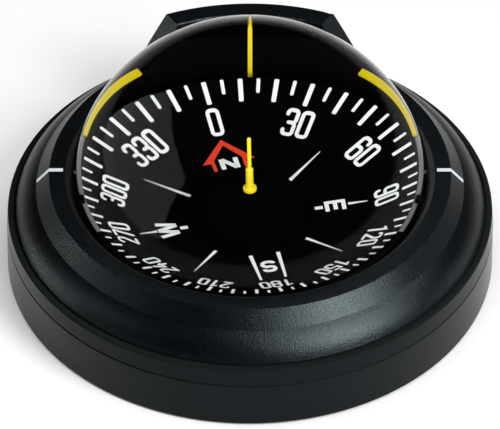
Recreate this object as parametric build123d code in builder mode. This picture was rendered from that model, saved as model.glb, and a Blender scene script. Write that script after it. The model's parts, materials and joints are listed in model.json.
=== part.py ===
from build123d import *
import os
from math import cos, sin, radians, sqrt

os.makedirs("parts", exist_ok=True)

# Deck-mounted steering compass. Millimetres, +Z up, deck face at z = 0, +Y forward.
# The casing's axis is the Z axis, and the hood with its lamp stands at +Y.
# Radii are worked out inwards from the casing's outside, and heights upwards from the deck.

# --- casing -----------------------------------------------------------------
CASE_R = 86.0            # outer radius at the top of the upper half's band
DRAFT = 0.6              # each half's outer wall widens by this much downwards
WALL = 3.0               # casing wall
FLOOR_T = 3.0            # casing floor
BASE_H = 17.5            # height of the lower casing half
EDGE_LOW = 0.6           # chamfer at the deck
EDGE_SEAM = 0.4          # chamfer at the seam
SEAM = 0.4               # open seam between the halves
BAND_H = 6.4             # plain upright band of the upper half
BAND_EDGE = 0.5          # chamfer on top of the band
GROOVE_W = 0.8           # shadow groove above the band
GROOVE_D = 0.5
SHOULDER_STEP = 2.8      # foot of the rounded shoulder, inside the band
SHOULDER_W = 7.6         # width and height of the rounded shoulder
SHOULDER_H = 8.7
SHOULDER_LIFT = 0.4      # the shoulder starts this far above the band
SHOULDER_BULGE_R = 0.8   # how far its arc stands off its chord
SHOULDER_BULGE_Z = 0.75
SLOPE_W = 4.8            # width and height of the straight slope
SLOPE_H = 5.5
RIM_GAP = 0.7            # between the dome and the inner edge of the flat top
LIP_T = 1.0              # locating lip of the lower half
LIP_H = 2.0
LIP_ROOT = 3.5

# --- dome and bowl ----------------------------------------------------------
DOME_WALL = 2.5
DOME_RISE = 9.0          # centre of the dome's sphere above its seat
DOME_FLANGE_W = 5.0
FLANGE_T = 3.0
BOWL_WALL = 2.0
BOWL_FLOOR = 1.6
BOWL_FLOOR_Z = 0.4       # underside of the bowl above the deck
BOWL_SINK = 0.5          # seat of the dome's flange below the casing's seam
BOWL_FLANGE_T = 3.5
BOWL_EDGE = 1.0
CLAMP_W = 5.5            # width of the clamp ring outside the dome's flange
CLAMP_STEP = 0.5         # free space round the dome's flange
CLAMP_T = 2.5
SEAL_W = 2.4
SEAL_T = 1.4
SEAL_IN = 0.4            # the seal lies this far inside the flange's middle
FIT_GAP = 0.3            # free gap between neighbouring pieces
RUN_GAP = 0.05           # radial running clearance
SEAT_GAP = 0.1
CUT_OVER = 2.0           # how far a cut runs past the wall it opens
BOSS_GAP = 0.4           # free space on each side of the cover's screw bosses

# --- fasteners --------------------------------------------------------------
CLAMP_SCREWS = 8
CLAMP_SCREW_R = 1.5
SCREW_CLEAR = 0.15
HEAD_R = 2.75
HEAD_H = 1.9
SOCKET_SHARE = 0.7       # depth of a drive socket, as a share of its head
BOSS_R = 3.2
COVER_SCREWS = 4
COVER_HEAD_H = 1.8
COVER_BOSS_R = 2.7
INSERTS = 4
INSERT_OUT = 7.6         # deck fixing inserts outside the floor's inner edge
INSERT_R = 2.8
INSERT_BORE_R = 1.65
INSERT_L = 8.0
INSERT_BOSS_R = 4.2
INSERT_CAP = 1.5
GASKET_W = 2.0
GASKET_T = 1.2

# --- hood and lamp ----------------------------------------------------------
HOOD_H = 14.0            # above the casing's flat top
HOOD_STAND = 1.2         # foot of the hood's front face outside the flat top's inner edge
HOOD_LEAN_W = 3.6        # how far the front face leans back
HOOD_TOP_W = 7.6
HOOD_BACK_FLARE = 1.4
HOOD_ROOT = 8.5          # the hood's walls start this far below the flat top
HOOD_HALF_W = 26.2       # half width of the hood's top at its front corners
HOOD_SPREAD = 0.65       # widening per mm towards the back
HOOD_SIDE = 0.73         # widening per mm downwards
HOOD_ROUND = 0.8
HOOD_WALL = 1.6
HOOD_BACK_WALL = 1.8
HOOD_ROOF = 2.5
CAVITY_ARC = 23.0        # degrees
WINDOW_ARC = 18.4
WINDOW_SILL = 1.5        # the window's low edge above the flat top
WINDOW_HEAD = 1.0        # its top edge below the cavity's roof
LENS_T = 1.2
LENS_RECESS = 0.3
HOUSING_ARC = 17.0
HOUSING_SILL = 0.5
POCKET_ARC = 13.0
POCKET_D = 1.6
POCKET_SILL = 1.0
POCKET_HEAD = 0.5
BOARD_T = 0.6
LED_T = 1.1
LED_H = 2.0
LED_ARC = 1.6
INLET_ASIDE = 10.0       # degrees to the left of straight ahead
INLET_UP = 5.5           # the inlet's axis above the casing floor
INLET_R = 3.6
INLET_BOSS_W = 1.2
INLET_SOCKET_R = 2.6
INLET_SOCKET_D = 5.0
INLET_RECESS = 0.5
INLET_TAG_W = 4.0
INLET_TAG_L = 3.2
INLET_TAG_H = 3.8        # its top above the inlet's axis
LEAD_ASIDE = 6.0
LEAD_R = 0.8
LEAD_BEND = 6.0
LEAD_DROP = 8.0
LEAD_OUT = 1.5
LEAD_CLEAR = 0.5

# --- gimbal -----------------------------------------------------------------
GIMBAL_DROP = 3.0        # both gimbal axes cross this far below the dome's centre
CARRIER_W = 4.3
CARRIER_H = 4.0
CARRIER_POST_H = 3.8
CARRIER_POST_ARC = 10.0  # degrees
CARRIER_LIP = 2.1
REBATE_H = 1.1
ROLL_GAP = 2.9           # between the carrier and the gimbal ring
RING_W = 5.0
RING_H = 5.0
RING_EDGE = 0.5
PIN_R = 1.25
COLLAR_R = 2.2
PITCH_GAP = 2.3          # between the gimbal ring and the cradle's lubber ring
LUBBER_W = 2.4
LUBBER_RISE = 2.0        # top of the lubber ring above the gimbal axes
LUBBER_H = 8.5
TRUNNION_R = 2.8
TRUNNION_GAP = 0.6
TRUNNION_WALL = 0.8
ARM_W = 7.0
ARM_T = 2.1
ARM_GAP_IN = 3.95        # cradle arms below the dial's break and rim
ARM_GAP_OUT = 3.55
HUB_R = 9.0
FLOAT_GAP = 2.6          # cradle hub below the float
FLOAT_SIDE_GAP = 1.5
WEIGHT_R = 14.0
WEIGHT_T = 2.6
WEIGHT_CHAMFER = 0.6
POST_R = 1.3
POST_TIP_H = 2.5
POST_TIP_R = 0.15
ARC_FROM = 30.0          # lubber arcs, degrees from straight ahead
ARC_TO = 60.0
ARC_W = 1.8              # before their outer edge is tapered
ARC_IN = 0.5             # they overhang the lubber ring's inner edge
ARC_EDGE_OUT = 1.8       # circle of their outer edge, past the ring's inner edge
ARC_EDGE_Y = -1.5
ARC_T = 0.6
LUBBER_POST_W = 0.9
LUBBER_POST_T = 1.0
LUBBER_POST_IN = 0.5     # the post stands this far inside the lubber ring
LUBBER_POST_LOW = 8.0    # below the dome's centre
LUBBER_POST_TOP = 8.2    # above the dome's centre
LUBBER_POST_POINT = 2.0

# --- dial -------------------------------------------------------------------
HEADING = 12.8           # degrees shown ahead at rest
DIAL_DIP = 3.7           # the north side hangs low, as magnetic dip pulls it
DIAL_GAP = 1.3           # between the dial and the lubber ring
DIAL_FACE = 6.85         # dial face below the dome's centre
DIAL_T = 0.9
DIAL_RIM_W = 12.2        # the outer rim turns up from the flat face
DIAL_RIM_RISE = 3.4
CENTRE_R = 15.4          # foot of the raised centre
CENTRE_SEAT = 2.8        # how much of the dial lies under the raised centre
CENTRE_TOP = 2.25        # top of the raised centre above the dome's centre
CENTRE_FLAT_R = 2.2
CENTRE_EDGE_R = 8.6
CENTRE_EDGE_H = 1.2
CENTRE_WALL = 1.0
JEWEL_R = 1.8
JEWEL_H = 1.9
JEWEL_MOUTH_R = 1.1
JEWEL_PLAY = 0.3
JEWEL_BOSS_R = 3.0
FLOAT_OUT = 1.6          # the float stands this far outside the raised centre
FLOAT_H = 4.65
FLOAT_STEM_TOP = 2.6
FLOAT_WELL_R = 4.2
MAGNET_EDGE = 1.38       # float left outside the magnets' corners
MAGNET_W = 4.0
MAGNET_T = 2.6
MAGNET_OFFSET = 8.0
NEEDLE_BASE_R = 1.75
NEEDLE_BASE_H = 0.75
NEEDLE_SLEEVE_R = 1.0
NEEDLE_SLEEVE_H = 6.2
NEEDLE_R = 0.55
NEEDLE_PIN_H = 11.0
NEEDLE_TIP = 0.3

# --- correctors, bellows and filler ----------------------------------------
SPINDLE_R = 2.0
SPINDLE_HEAD_R = 4.0
SPINDLE_HEAD_L = 2.6
SPINDLE_HEAD_SINK = 0.8
SPINDLE_SLOT_W = 1.0
SPINDLE_START = 2.2
BEARING_W = 8.0
BEARING_T = 2.2
BEARING_START = 1.8
CORRECTOR_MAGNET_W = 3.0
CORRECTOR_MAGNET_OUT = 9.6
UNDER_FLANGE = 0.9       # free space under the bowl's flange
CLIP_R = 3.6
CLIP_T = 0.8
CLIP_GAP = 0.2
BELLOWS_OUT = 10.0       # the bellows' axis outside the bowl
BELLOWS_R = 6.0
BELLOWS_DEPTH = 1.3
BELLOWS_PLEATS = 5
BELLOWS_CAP = 1.2
NECK_R = 2.0
NECK_UP = 5.0            # the neck's axis above the casing floor
FILLER_BOSS_L = 4.0
FILLER_SEAT_W = 1.7      # seat of the filler's head round its thread
FILLER_HEAD_T = 1.6
FILLER_BOSS_GAP = 0.25
FILLER_HEAD_GAP = 1.05
FILLER_SEAL_T = 1.0
FILLER_SEAL_EDGE = 0.2

# --- radii, from the casing inwards ----------------------------------------
SEAM_R = CASE_R + DRAFT
FOOT_R = SEAM_R + DRAFT
INNER_R = CASE_R - WALL
LIP_R = INNER_R - FIT_GAP
COVER_PCR = LIP_R - LIP_T - BOSS_GAP - COVER_BOSS_R
CLAMP_R = COVER_PCR - COVER_BOSS_R - BOSS_GAP
DOME_FLANGE_R = CLAMP_R - CLAMP_W - CLAMP_STEP
CLAMP_PCR = (DOME_FLANGE_R + CLAMP_STEP + CLAMP_R) / 2
DOME_R = DOME_FLANGE_R - DOME_FLANGE_W
CLAMP_IN_R = DOME_R + RIM_GAP
BEZEL_IN_R = DOME_R + RIM_GAP
DOME_IN_R = DOME_R - DOME_WALL
SEAL_MID_R = (DOME_R + DOME_FLANGE_R) / 2 - SEAL_IN
BOWL_R = DOME_IN_R
BOWL_IN_R = BOWL_R - BOWL_WALL
FLOOR_IN_R = BOWL_R + FIT_GAP + SEAT_GAP
INSERT_PCR = FLOOR_IN_R + INSERT_OUT
SHOULDER_R = CASE_R - SHOULDER_STEP
SLOPE_LOW_R = SHOULDER_R - SHOULDER_W
SLOPE_TOP_R = SLOPE_LOW_R - SLOPE_W
HOOD_FRONT_R = BEZEL_IN_R + HOOD_STAND
HOOD_FRONT_TOP_R = HOOD_FRONT_R + HOOD_LEAN_W
HOOD_BACK_TOP_R = HOOD_FRONT_TOP_R + HOOD_TOP_W
HOOD_BACK_LOW_R = HOOD_BACK_TOP_R + HOOD_BACK_FLARE
CAVITY_BACK_R = HOOD_BACK_TOP_R - HOOD_BACK_WALL
CARRIER_R = DOME_IN_R - FIT_GAP
CARRIER_IN_R = CARRIER_R - CARRIER_W
CARRIER_LIP_R = BOWL_R + CARRIER_LIP
RING_OUT_R = CARRIER_IN_R - ROLL_GAP
RING_IN_R = RING_OUT_R - RING_W
TRUNNION_OUT_R = RING_IN_R - TRUNNION_GAP
LUBBER_OUT_R = RING_IN_R - PITCH_GAP
LUBBER_IN_R = LUBBER_OUT_R - LUBBER_W
TRUNNION_END_R = LUBBER_IN_R + TRUNNION_WALL
LUBBER_POST_Y = LUBBER_IN_R - LUBBER_POST_IN
DIAL_R = LUBBER_IN_R - DIAL_GAP
DIAL_BREAK_R = DIAL_R - DIAL_RIM_W
DIAL_HOLE_R = CENTRE_R - CENTRE_SEAT
FLOAT_R = CENTRE_R + FLOAT_OUT
FLOAT_STEM_R = DIAL_HOLE_R - FIT_GAP
HUB_FLAT_R = FLOAT_R + FLOAT_SIDE_GAP
MAGNET_L = 2 * sqrt((FLOAT_R - MAGNET_EDGE) ** 2 - (MAGNET_OFFSET + MAGNET_W / 2) ** 2)
CORRECTOR_MAGNET_AT = FLOOR_IN_R + CORRECTOR_MAGNET_OUT
BELLOWS_AT = BOWL_R + BELLOWS_OUT

# --- heights, from the deck upwards ----------------------------------------
COVER_Z = BASE_H + SEAM
BAND_TOP_Z = COVER_Z + BAND_H
SLOPE_LOW_Z = BAND_TOP_Z + SHOULDER_H
TOP_Z = SLOPE_LOW_Z + SLOPE_H
HOOD_TOP_Z = TOP_Z + HOOD_H
HOOD_LOW_Z = TOP_Z - HOOD_ROOT
CAVITY_TOP_Z = HOOD_TOP_Z - HOOD_ROOF
WINDOW_LOW_Z = TOP_Z + WINDOW_SILL
WINDOW_TOP_Z = CAVITY_TOP_Z - WINDOW_HEAD
BOWL_TOP_Z = BASE_H - BOWL_SINK
BOWL_FLANGE_Z = BOWL_TOP_Z - BOWL_FLANGE_T
DOME_FLANGE_Z = BOWL_TOP_Z + FLANGE_T
CLAMP_TOP_Z = DOME_FLANGE_Z + CLAMP_T
DOME_Z = BOWL_TOP_Z + DOME_RISE
GIMBAL_Z = DOME_Z - GIMBAL_DROP
RING_LOW_Z = GIMBAL_Z - RING_H / 2
LUBBER_TOP_Z = GIMBAL_Z + LUBBER_RISE
LUBBER_LOW_Z = LUBBER_TOP_Z - LUBBER_H
FLOAT_LOW = DIAL_FACE + DIAL_T + FLOAT_H
HUB_TOP_Z = DOME_Z - FLOAT_LOW - FLOAT_GAP
WEIGHT_LOW_Z = HUB_TOP_Z - ARM_T - WEIGHT_T
ARM_BREAK_Z = DOME_Z - DIAL_FACE - DIAL_T - ARM_GAP_IN
ARM_OUT_Z = DOME_Z - DIAL_FACE + DIAL_RIM_RISE - DIAL_T - ARM_GAP_OUT
INLET_Z = FLOOR_T + INLET_UP
INLET_TAG_TOP_Z = INLET_Z + INLET_TAG_H
CORRECTOR_Z = (FLOOR_T + BOWL_FLANGE_Z + SEAT_GAP) / 2
CORRECTOR_BOSS_R = CORRECTOR_Z - FLOOR_T - SEAT_GAP
CORRECTOR_MAGNET_L = 2 * (BOWL_FLANGE_Z - UNDER_FLANGE - CORRECTOR_Z)
BEARING_TOP_Z = BOWL_FLANGE_Z - UNDER_FLANGE
BELLOWS_H = BOWL_FLANGE_Z - UNDER_FLANGE - FLOOR_T
NECK_Z = FLOOR_T + NECK_UP
FILLER_BOSS_R = (BOWL_FLANGE_Z - FLOOR_T) / 2 - FILLER_BOSS_GAP
FILLER_HEAD_R = (BOWL_FLANGE_Z - FLOOR_T) / 2 - FILLER_HEAD_GAP
FILLER_R = FILLER_HEAD_R - FILLER_SEAT_W
FILLER_Z = FLOOR_T + FILLER_BOSS_R

HOOD_LEAN = HOOD_LEAN_W / HOOD_H
INLET_ANGLE = 90 + INLET_ASIDE
LEAD_ANGLE = 90 + LEAD_ASIDE
CLAMP_START = 180 / CLAMP_SCREWS
CORRECTORS = (("side", 0.0), ("rear", 90.0))


def radial(angle):
    """Upright section plane through the casing's axis: x is the radius, y the height."""
    a = radians(angle)
    return Plane(origin=(0, 0, 0), x_dir=(cos(a), sin(a), 0), z_dir=(sin(a), -cos(a), 0))


def ahead(angle):
    """Upright section plane at an angle to the left of straight ahead."""
    return radial(90 + angle)


def facing(angle, radius, height):
    """Plane at a radius and height that looks outwards along a radius."""
    a = radians(angle)
    middle = (radius * cos(a), radius * sin(a), height)
    return Plane(origin=middle, x_dir=(-sin(a), cos(a), 0), z_dir=(cos(a), sin(a), 0))


def polar(angle, radius, height):
    """Point at an angle, radius and height."""
    return Vector(radius * cos(radians(angle)), radius * sin(radians(angle)), height)


def dome_radius(height, radius=DOME_R):
    """Horizontal radius of the dome's sphere at a height."""
    return sqrt(radius**2 - (height - DOME_Z) ** 2)


def hood_front(height):
    """Radius of the hood's leaning front face at a height."""
    return HOOD_FRONT_R + max(0.0, height - TOP_Z) * HOOD_LEAN


def front_band(low, top, near, far):
    """Section between two offsets behind the hood's front face."""
    return (
        (hood_front(low) + near, low),
        (hood_front(low) + far, low),
        (hood_front(top) + far, top),
        (hood_front(top) + near, top),
    )


# === lower casing ===========================================================
with BuildPart() as base_ring:
    with BuildSketch(Plane.XZ):
        with BuildLine():
            Polyline(
                (FLOOR_IN_R, 0),
                (FOOT_R - EDGE_LOW, 0),
                (FOOT_R, EDGE_LOW),
                (SEAM_R, BASE_H - EDGE_SEAM),
                (SEAM_R - EDGE_SEAM, BASE_H),
                (LIP_R, BASE_H),
                (LIP_R, BASE_H + LIP_H),
                (LIP_R - LIP_T, BASE_H + LIP_H),
                (LIP_R - LIP_T, BASE_H - LIP_ROOT),
                (INNER_R, BASE_H - LIP_ROOT - LIP_T - FIT_GAP),
                (INNER_R, FLOOR_T),
                (FLOOR_IN_R, FLOOR_T),
                close=True,
            )
        make_face()
    revolve(axis=Axis.Z)
    # bosses for the clamp screws, tied to the wall by ribs
    with BuildSketch(Plane.XY.offset(FLOOR_T)):
        with PolarLocations(CLAMP_PCR, CLAMP_SCREWS, start_angle=CLAMP_START):
            Circle(BOSS_R)
    extrude(amount=BOWL_FLANGE_Z - FLOOR_T)
    with BuildSketch(Plane.XY.offset(FLOOR_T)):
        with PolarLocations((CLAMP_PCR + INNER_R) / 2, CLAMP_SCREWS, start_angle=CLAMP_START):
            Rectangle(INNER_R - CLAMP_PCR + 0.4, WALL / 2)
    extrude(amount=BOWL_FLANGE_Z - FLOOR_T - 2)
    with BuildSketch(Plane.XY.offset(FLOOR_T)):
        with PolarLocations(INSERT_PCR, INSERTS, start_angle=45):
            Circle(INSERT_BOSS_R)
    extrude(amount=INSERT_L + INSERT_CAP - FLOOR_T)
    # bearings of the corrector spindles and the boss of the lamp inlet
    for _, angle in CORRECTORS:
        with BuildSketch(facing(angle, FLOOR_IN_R + BEARING_START, (FLOOR_T + BEARING_TOP_Z) / 2)):
            Rectangle(BEARING_W, BEARING_TOP_Z - FLOOR_T)
        extrude(amount=BEARING_T)
        with BuildSketch(facing(angle, INNER_R - WALL, CORRECTOR_Z)):
            Circle(CORRECTOR_BOSS_R)
        extrude(amount=WALL + 1)
        with BuildSketch(facing(angle, FLOOR_IN_R + 1, CORRECTOR_Z)):
            Circle(SPINDLE_R + RUN_GAP)
        extrude(amount=CASE_R - FLOOR_IN_R, mode=Mode.SUBTRACT)
        with BuildSketch(facing(angle, CASE_R - SPINDLE_HEAD_L - SPINDLE_HEAD_SINK - SEAT_GAP, CORRECTOR_Z)):
            Circle(SPINDLE_HEAD_R + RUN_GAP)
        extrude(amount=SPINDLE_HEAD_L + SPINDLE_HEAD_SINK + CUT_OVER, mode=Mode.SUBTRACT)
    with BuildSketch(facing(INLET_ANGLE, INNER_R - WALL + 0.5, INLET_Z)):
        Circle(INLET_R + INLET_BOSS_W)
    extrude(amount=WALL)
    with BuildSketch(facing(INLET_ANGLE, INNER_R - WALL, INLET_Z)):
        Circle(INLET_R)
    extrude(amount=3 * WALL, mode=Mode.SUBTRACT)
    # screw and insert holes, pilot holes and the gasket's groove
    with Locations(Plane(origin=(0, 0, 0), x_dir=(1, 0, 0), z_dir=(0, 0, -1))):
        with PolarLocations(COVER_PCR, COVER_SCREWS, start_angle=45):
            CounterBoreHole(
                radius=CLAMP_SCREW_R + SCREW_CLEAR,
                counter_bore_radius=HEAD_R + SCREW_CLEAR,
                counter_bore_depth=COVER_HEAD_H + FIT_GAP,
                depth=FLOOR_T,
            )
        with PolarLocations(INSERT_PCR, INSERTS, start_angle=45):
            Hole(radius=INSERT_R, depth=INSERT_L)
    with Locations((0, 0, BOWL_FLANGE_Z)):
        with PolarLocations(CLAMP_PCR, CLAMP_SCREWS, start_angle=CLAMP_START):
            Hole(radius=CLAMP_SCREW_R, depth=BOWL_FLANGE_Z - FLOOR_T - 1)
    with BuildSketch(Plane.XZ):
        with Locations((INNER_R + GASKET_W / 4, GASKET_T / 2)):
            Rectangle(GASKET_W, GASKET_T)
    revolve(axis=Axis.Z, mode=Mode.SUBTRACT)
base_ring.part.label = "base_ring"
export_step(base_ring.part, "parts/base_ring.step")

with BuildPart() as base_gasket:
    with BuildSketch(Plane.XZ):
        with Locations((INNER_R + GASKET_W / 4, GASKET_T / 2)):
            Rectangle(GASKET_W, GASKET_T)
    revolve(axis=Axis.Z)
base_gasket.part.label = "base_gasket"
export_step(base_gasket.part, "parts/base_gasket.step")

with BuildPart() as mounting_inserts:
    with BuildSketch(Plane.XY):
        with PolarLocations(INSERT_PCR, INSERTS, start_angle=45):
            Circle(INSERT_R)
            Circle(INSERT_BORE_R, mode=Mode.SUBTRACT)
    extrude(amount=INSERT_L)
mounting_inserts.part.label = "mounting_inserts"
export_step(mounting_inserts.part, "parts/mounting_inserts.step")

# === bowl, dome and their clamp =============================================
with BuildPart() as bowl:
    with BuildSketch(Plane.XZ):
        with BuildLine():
            Polyline(
                (0, BOWL_FLOOR_Z),
                (BOWL_R - BOWL_EDGE, BOWL_FLOOR_Z),
                (BOWL_R, BOWL_FLOOR_Z + BOWL_EDGE),
                (BOWL_R, BOWL_FLANGE_Z),
                (CLAMP_R, BOWL_FLANGE_Z),
                (CLAMP_R, BOWL_TOP_Z),
                (SEAL_MID_R + SEAL_W / 2, BOWL_TOP_Z),
                (SEAL_MID_R + SEAL_W / 2, BOWL_TOP_Z - SEAL_T),
                (SEAL_MID_R - SEAL_W / 2, BOWL_TOP_Z - SEAL_T),
                (SEAL_MID_R - SEAL_W / 2, BOWL_TOP_Z),
                (BOWL_IN_R, BOWL_TOP_Z),
                (BOWL_IN_R, BOWL_FLOOR_Z + BOWL_FLOOR + BOWL_EDGE),
                (BOWL_IN_R - BOWL_EDGE, BOWL_FLOOR_Z + BOWL_FLOOR),
                (0, BOWL_FLOOR_Z + BOWL_FLOOR),
                close=True,
            )
        make_face()
    revolve(axis=Axis.Z)
    with BuildSketch(facing(270, BOWL_R - 1, FILLER_Z)):
        Circle(FILLER_BOSS_R)
    extrude(amount=FILLER_BOSS_L + 1)
    with BuildSketch(facing(270, BOWL_IN_R - CUT_OVER, FILLER_Z)):
        Circle(FILLER_R)
    extrude(amount=BOWL_WALL + FILLER_BOSS_L + 2 * CUT_OVER, mode=Mode.SUBTRACT)
    with BuildSketch(facing(180, BOWL_IN_R - CUT_OVER, NECK_Z)):
        Circle(NECK_R)
    extrude(amount=BOWL_WALL + 2 * CUT_OVER, mode=Mode.SUBTRACT)
    with Locations((0, 0, BOWL_TOP_Z)):
        with PolarLocations(CLAMP_PCR, CLAMP_SCREWS, start_angle=CLAMP_START):
            Hole(radius=CLAMP_SCREW_R + SCREW_CLEAR, depth=BOWL_FLANGE_T)
bowl.part.label = "bowl"
export_step(bowl.part, "parts/bowl.step")

with BuildPart() as dome_seal:
    with BuildSketch(Plane.XZ):
        with Locations((SEAL_MID_R, BOWL_TOP_Z - SEAL_T / 2)):
            Rectangle(SEAL_W - 2 * SEAT_GAP, SEAL_T)
    revolve(axis=Axis.Z)
dome_seal.part.label = "dome_seal"
export_step(dome_seal.part, "parts/dome_seal.step")

with BuildPart() as dome:
    with BuildSketch(Plane.XZ):
        with BuildLine():
            Polyline(
                (DOME_R, DOME_Z),
                (DOME_R, DOME_FLANGE_Z),
                (DOME_FLANGE_R, DOME_FLANGE_Z),
                (DOME_FLANGE_R, BOWL_TOP_Z),
                (CARRIER_LIP_R + SEAT_GAP, BOWL_TOP_Z),
                (CARRIER_LIP_R + SEAT_GAP, BOWL_TOP_Z + REBATE_H),
                (DOME_IN_R, BOWL_TOP_Z + REBATE_H),
                (DOME_IN_R, DOME_Z),
            )
            inner = DOME_IN_R * sqrt(0.5)
            ThreePointArc((DOME_IN_R, DOME_Z), (inner, DOME_Z + inner), (0, DOME_Z + DOME_IN_R))
            Line((0, DOME_Z + DOME_IN_R), (0, DOME_Z + DOME_R))
            outer = DOME_R * sqrt(0.5)
            ThreePointArc((0, DOME_Z + DOME_R), (outer, DOME_Z + outer), (DOME_R, DOME_Z))
        make_face()
    revolve(axis=Axis.Z)
dome.part.label = "dome"
export_step(dome.part, "parts/dome.step")

with BuildPart() as dome_clamp_ring:
    with BuildSketch(Plane.XZ):
        with BuildLine():
            Polyline(
                (CLAMP_IN_R, DOME_FLANGE_Z),
                (DOME_FLANGE_R + CLAMP_STEP, DOME_FLANGE_Z),
                (DOME_FLANGE_R + CLAMP_STEP, BOWL_TOP_Z),
                (CLAMP_R, BOWL_TOP_Z),
                (CLAMP_R, CLAMP_TOP_Z),
                (CLAMP_IN_R, CLAMP_TOP_Z),
                close=True,
            )
        make_face()
    revolve(axis=Axis.Z)
    with Locations((0, 0, CLAMP_TOP_Z)):
        with PolarLocations(CLAMP_PCR, CLAMP_SCREWS, start_angle=CLAMP_START):
            Hole(radius=CLAMP_SCREW_R + SCREW_CLEAR, depth=CLAMP_TOP_Z - BOWL_TOP_Z)
dome_clamp_ring.part.label = "dome_clamp_ring"
export_step(dome_clamp_ring.part, "parts/dome_clamp_ring.step")

with BuildPart() as clamp_screws:
    with BuildSketch(Plane.XY.offset(CLAMP_TOP_Z)):
        with PolarLocations(CLAMP_PCR, CLAMP_SCREWS, start_angle=CLAMP_START):
            Circle(HEAD_R)
    extrude(amount=HEAD_H)
    with BuildSketch(Plane.XY.offset(FLOOR_T + 2)):
        with PolarLocations(CLAMP_PCR, CLAMP_SCREWS, start_angle=CLAMP_START):
            Circle(CLAMP_SCREW_R)
    extrude(amount=CLAMP_TOP_Z - FLOOR_T - 2)
    with BuildSketch(Plane.XY.offset(CLAMP_TOP_Z + HEAD_H)):
        with PolarLocations(CLAMP_PCR, CLAMP_SCREWS, start_angle=CLAMP_START):
            RegularPolygon(radius=CLAMP_SCREW_R, side_count=6)
    extrude(amount=-HEAD_H * SOCKET_SHARE, mode=Mode.SUBTRACT)
clamp_screws.part.label = "clamp_screws"
export_step(clamp_screws.part, "parts/clamp_screws.step")

# === upper casing with its hood =============================================
with BuildPart() as hood_block:
    with BuildSketch(ahead(-2 * CAVITY_ARC)):
        with BuildLine():
            Polyline(
                (HOOD_FRONT_R, HOOD_LOW_Z),
                (HOOD_BACK_LOW_R, HOOD_LOW_Z),
                (HOOD_BACK_TOP_R, HOOD_TOP_Z),
                (HOOD_FRONT_TOP_R, HOOD_TOP_Z),
                (HOOD_FRONT_R, TOP_Z),
                close=True,
            )
        make_face()
    revolve(axis=Axis.Z, revolution_arc=4 * CAVITY_ARC)
    for y in (HOOD_FRONT_R * 0.6, HOOD_BACK_LOW_R + 4):
        corner_y = sqrt(HOOD_FRONT_TOP_R**2 - HOOD_HALF_W**2)
        half_top = HOOD_HALF_W + (y - corner_y) * HOOD_SPREAD
        half_low = half_top + (HOOD_TOP_Z - HOOD_LOW_Z) * HOOD_SIDE
        with BuildSketch(Plane(origin=(0, y, 0), x_dir=(1, 0, 0), z_dir=(0, -1, 0))):
            with BuildLine():
                Polyline(
                    (-half_low, HOOD_LOW_Z),
                    (half_low, HOOD_LOW_Z),
                    (half_top, HOOD_TOP_Z),
                    (-half_top, HOOD_TOP_Z),
                    close=True,
                )
            make_face()
    loft(mode=Mode.INTERSECT)
    fillet(hood_block.edges().group_by(Axis.Z)[-1], radius=HOOD_ROUND)

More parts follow.
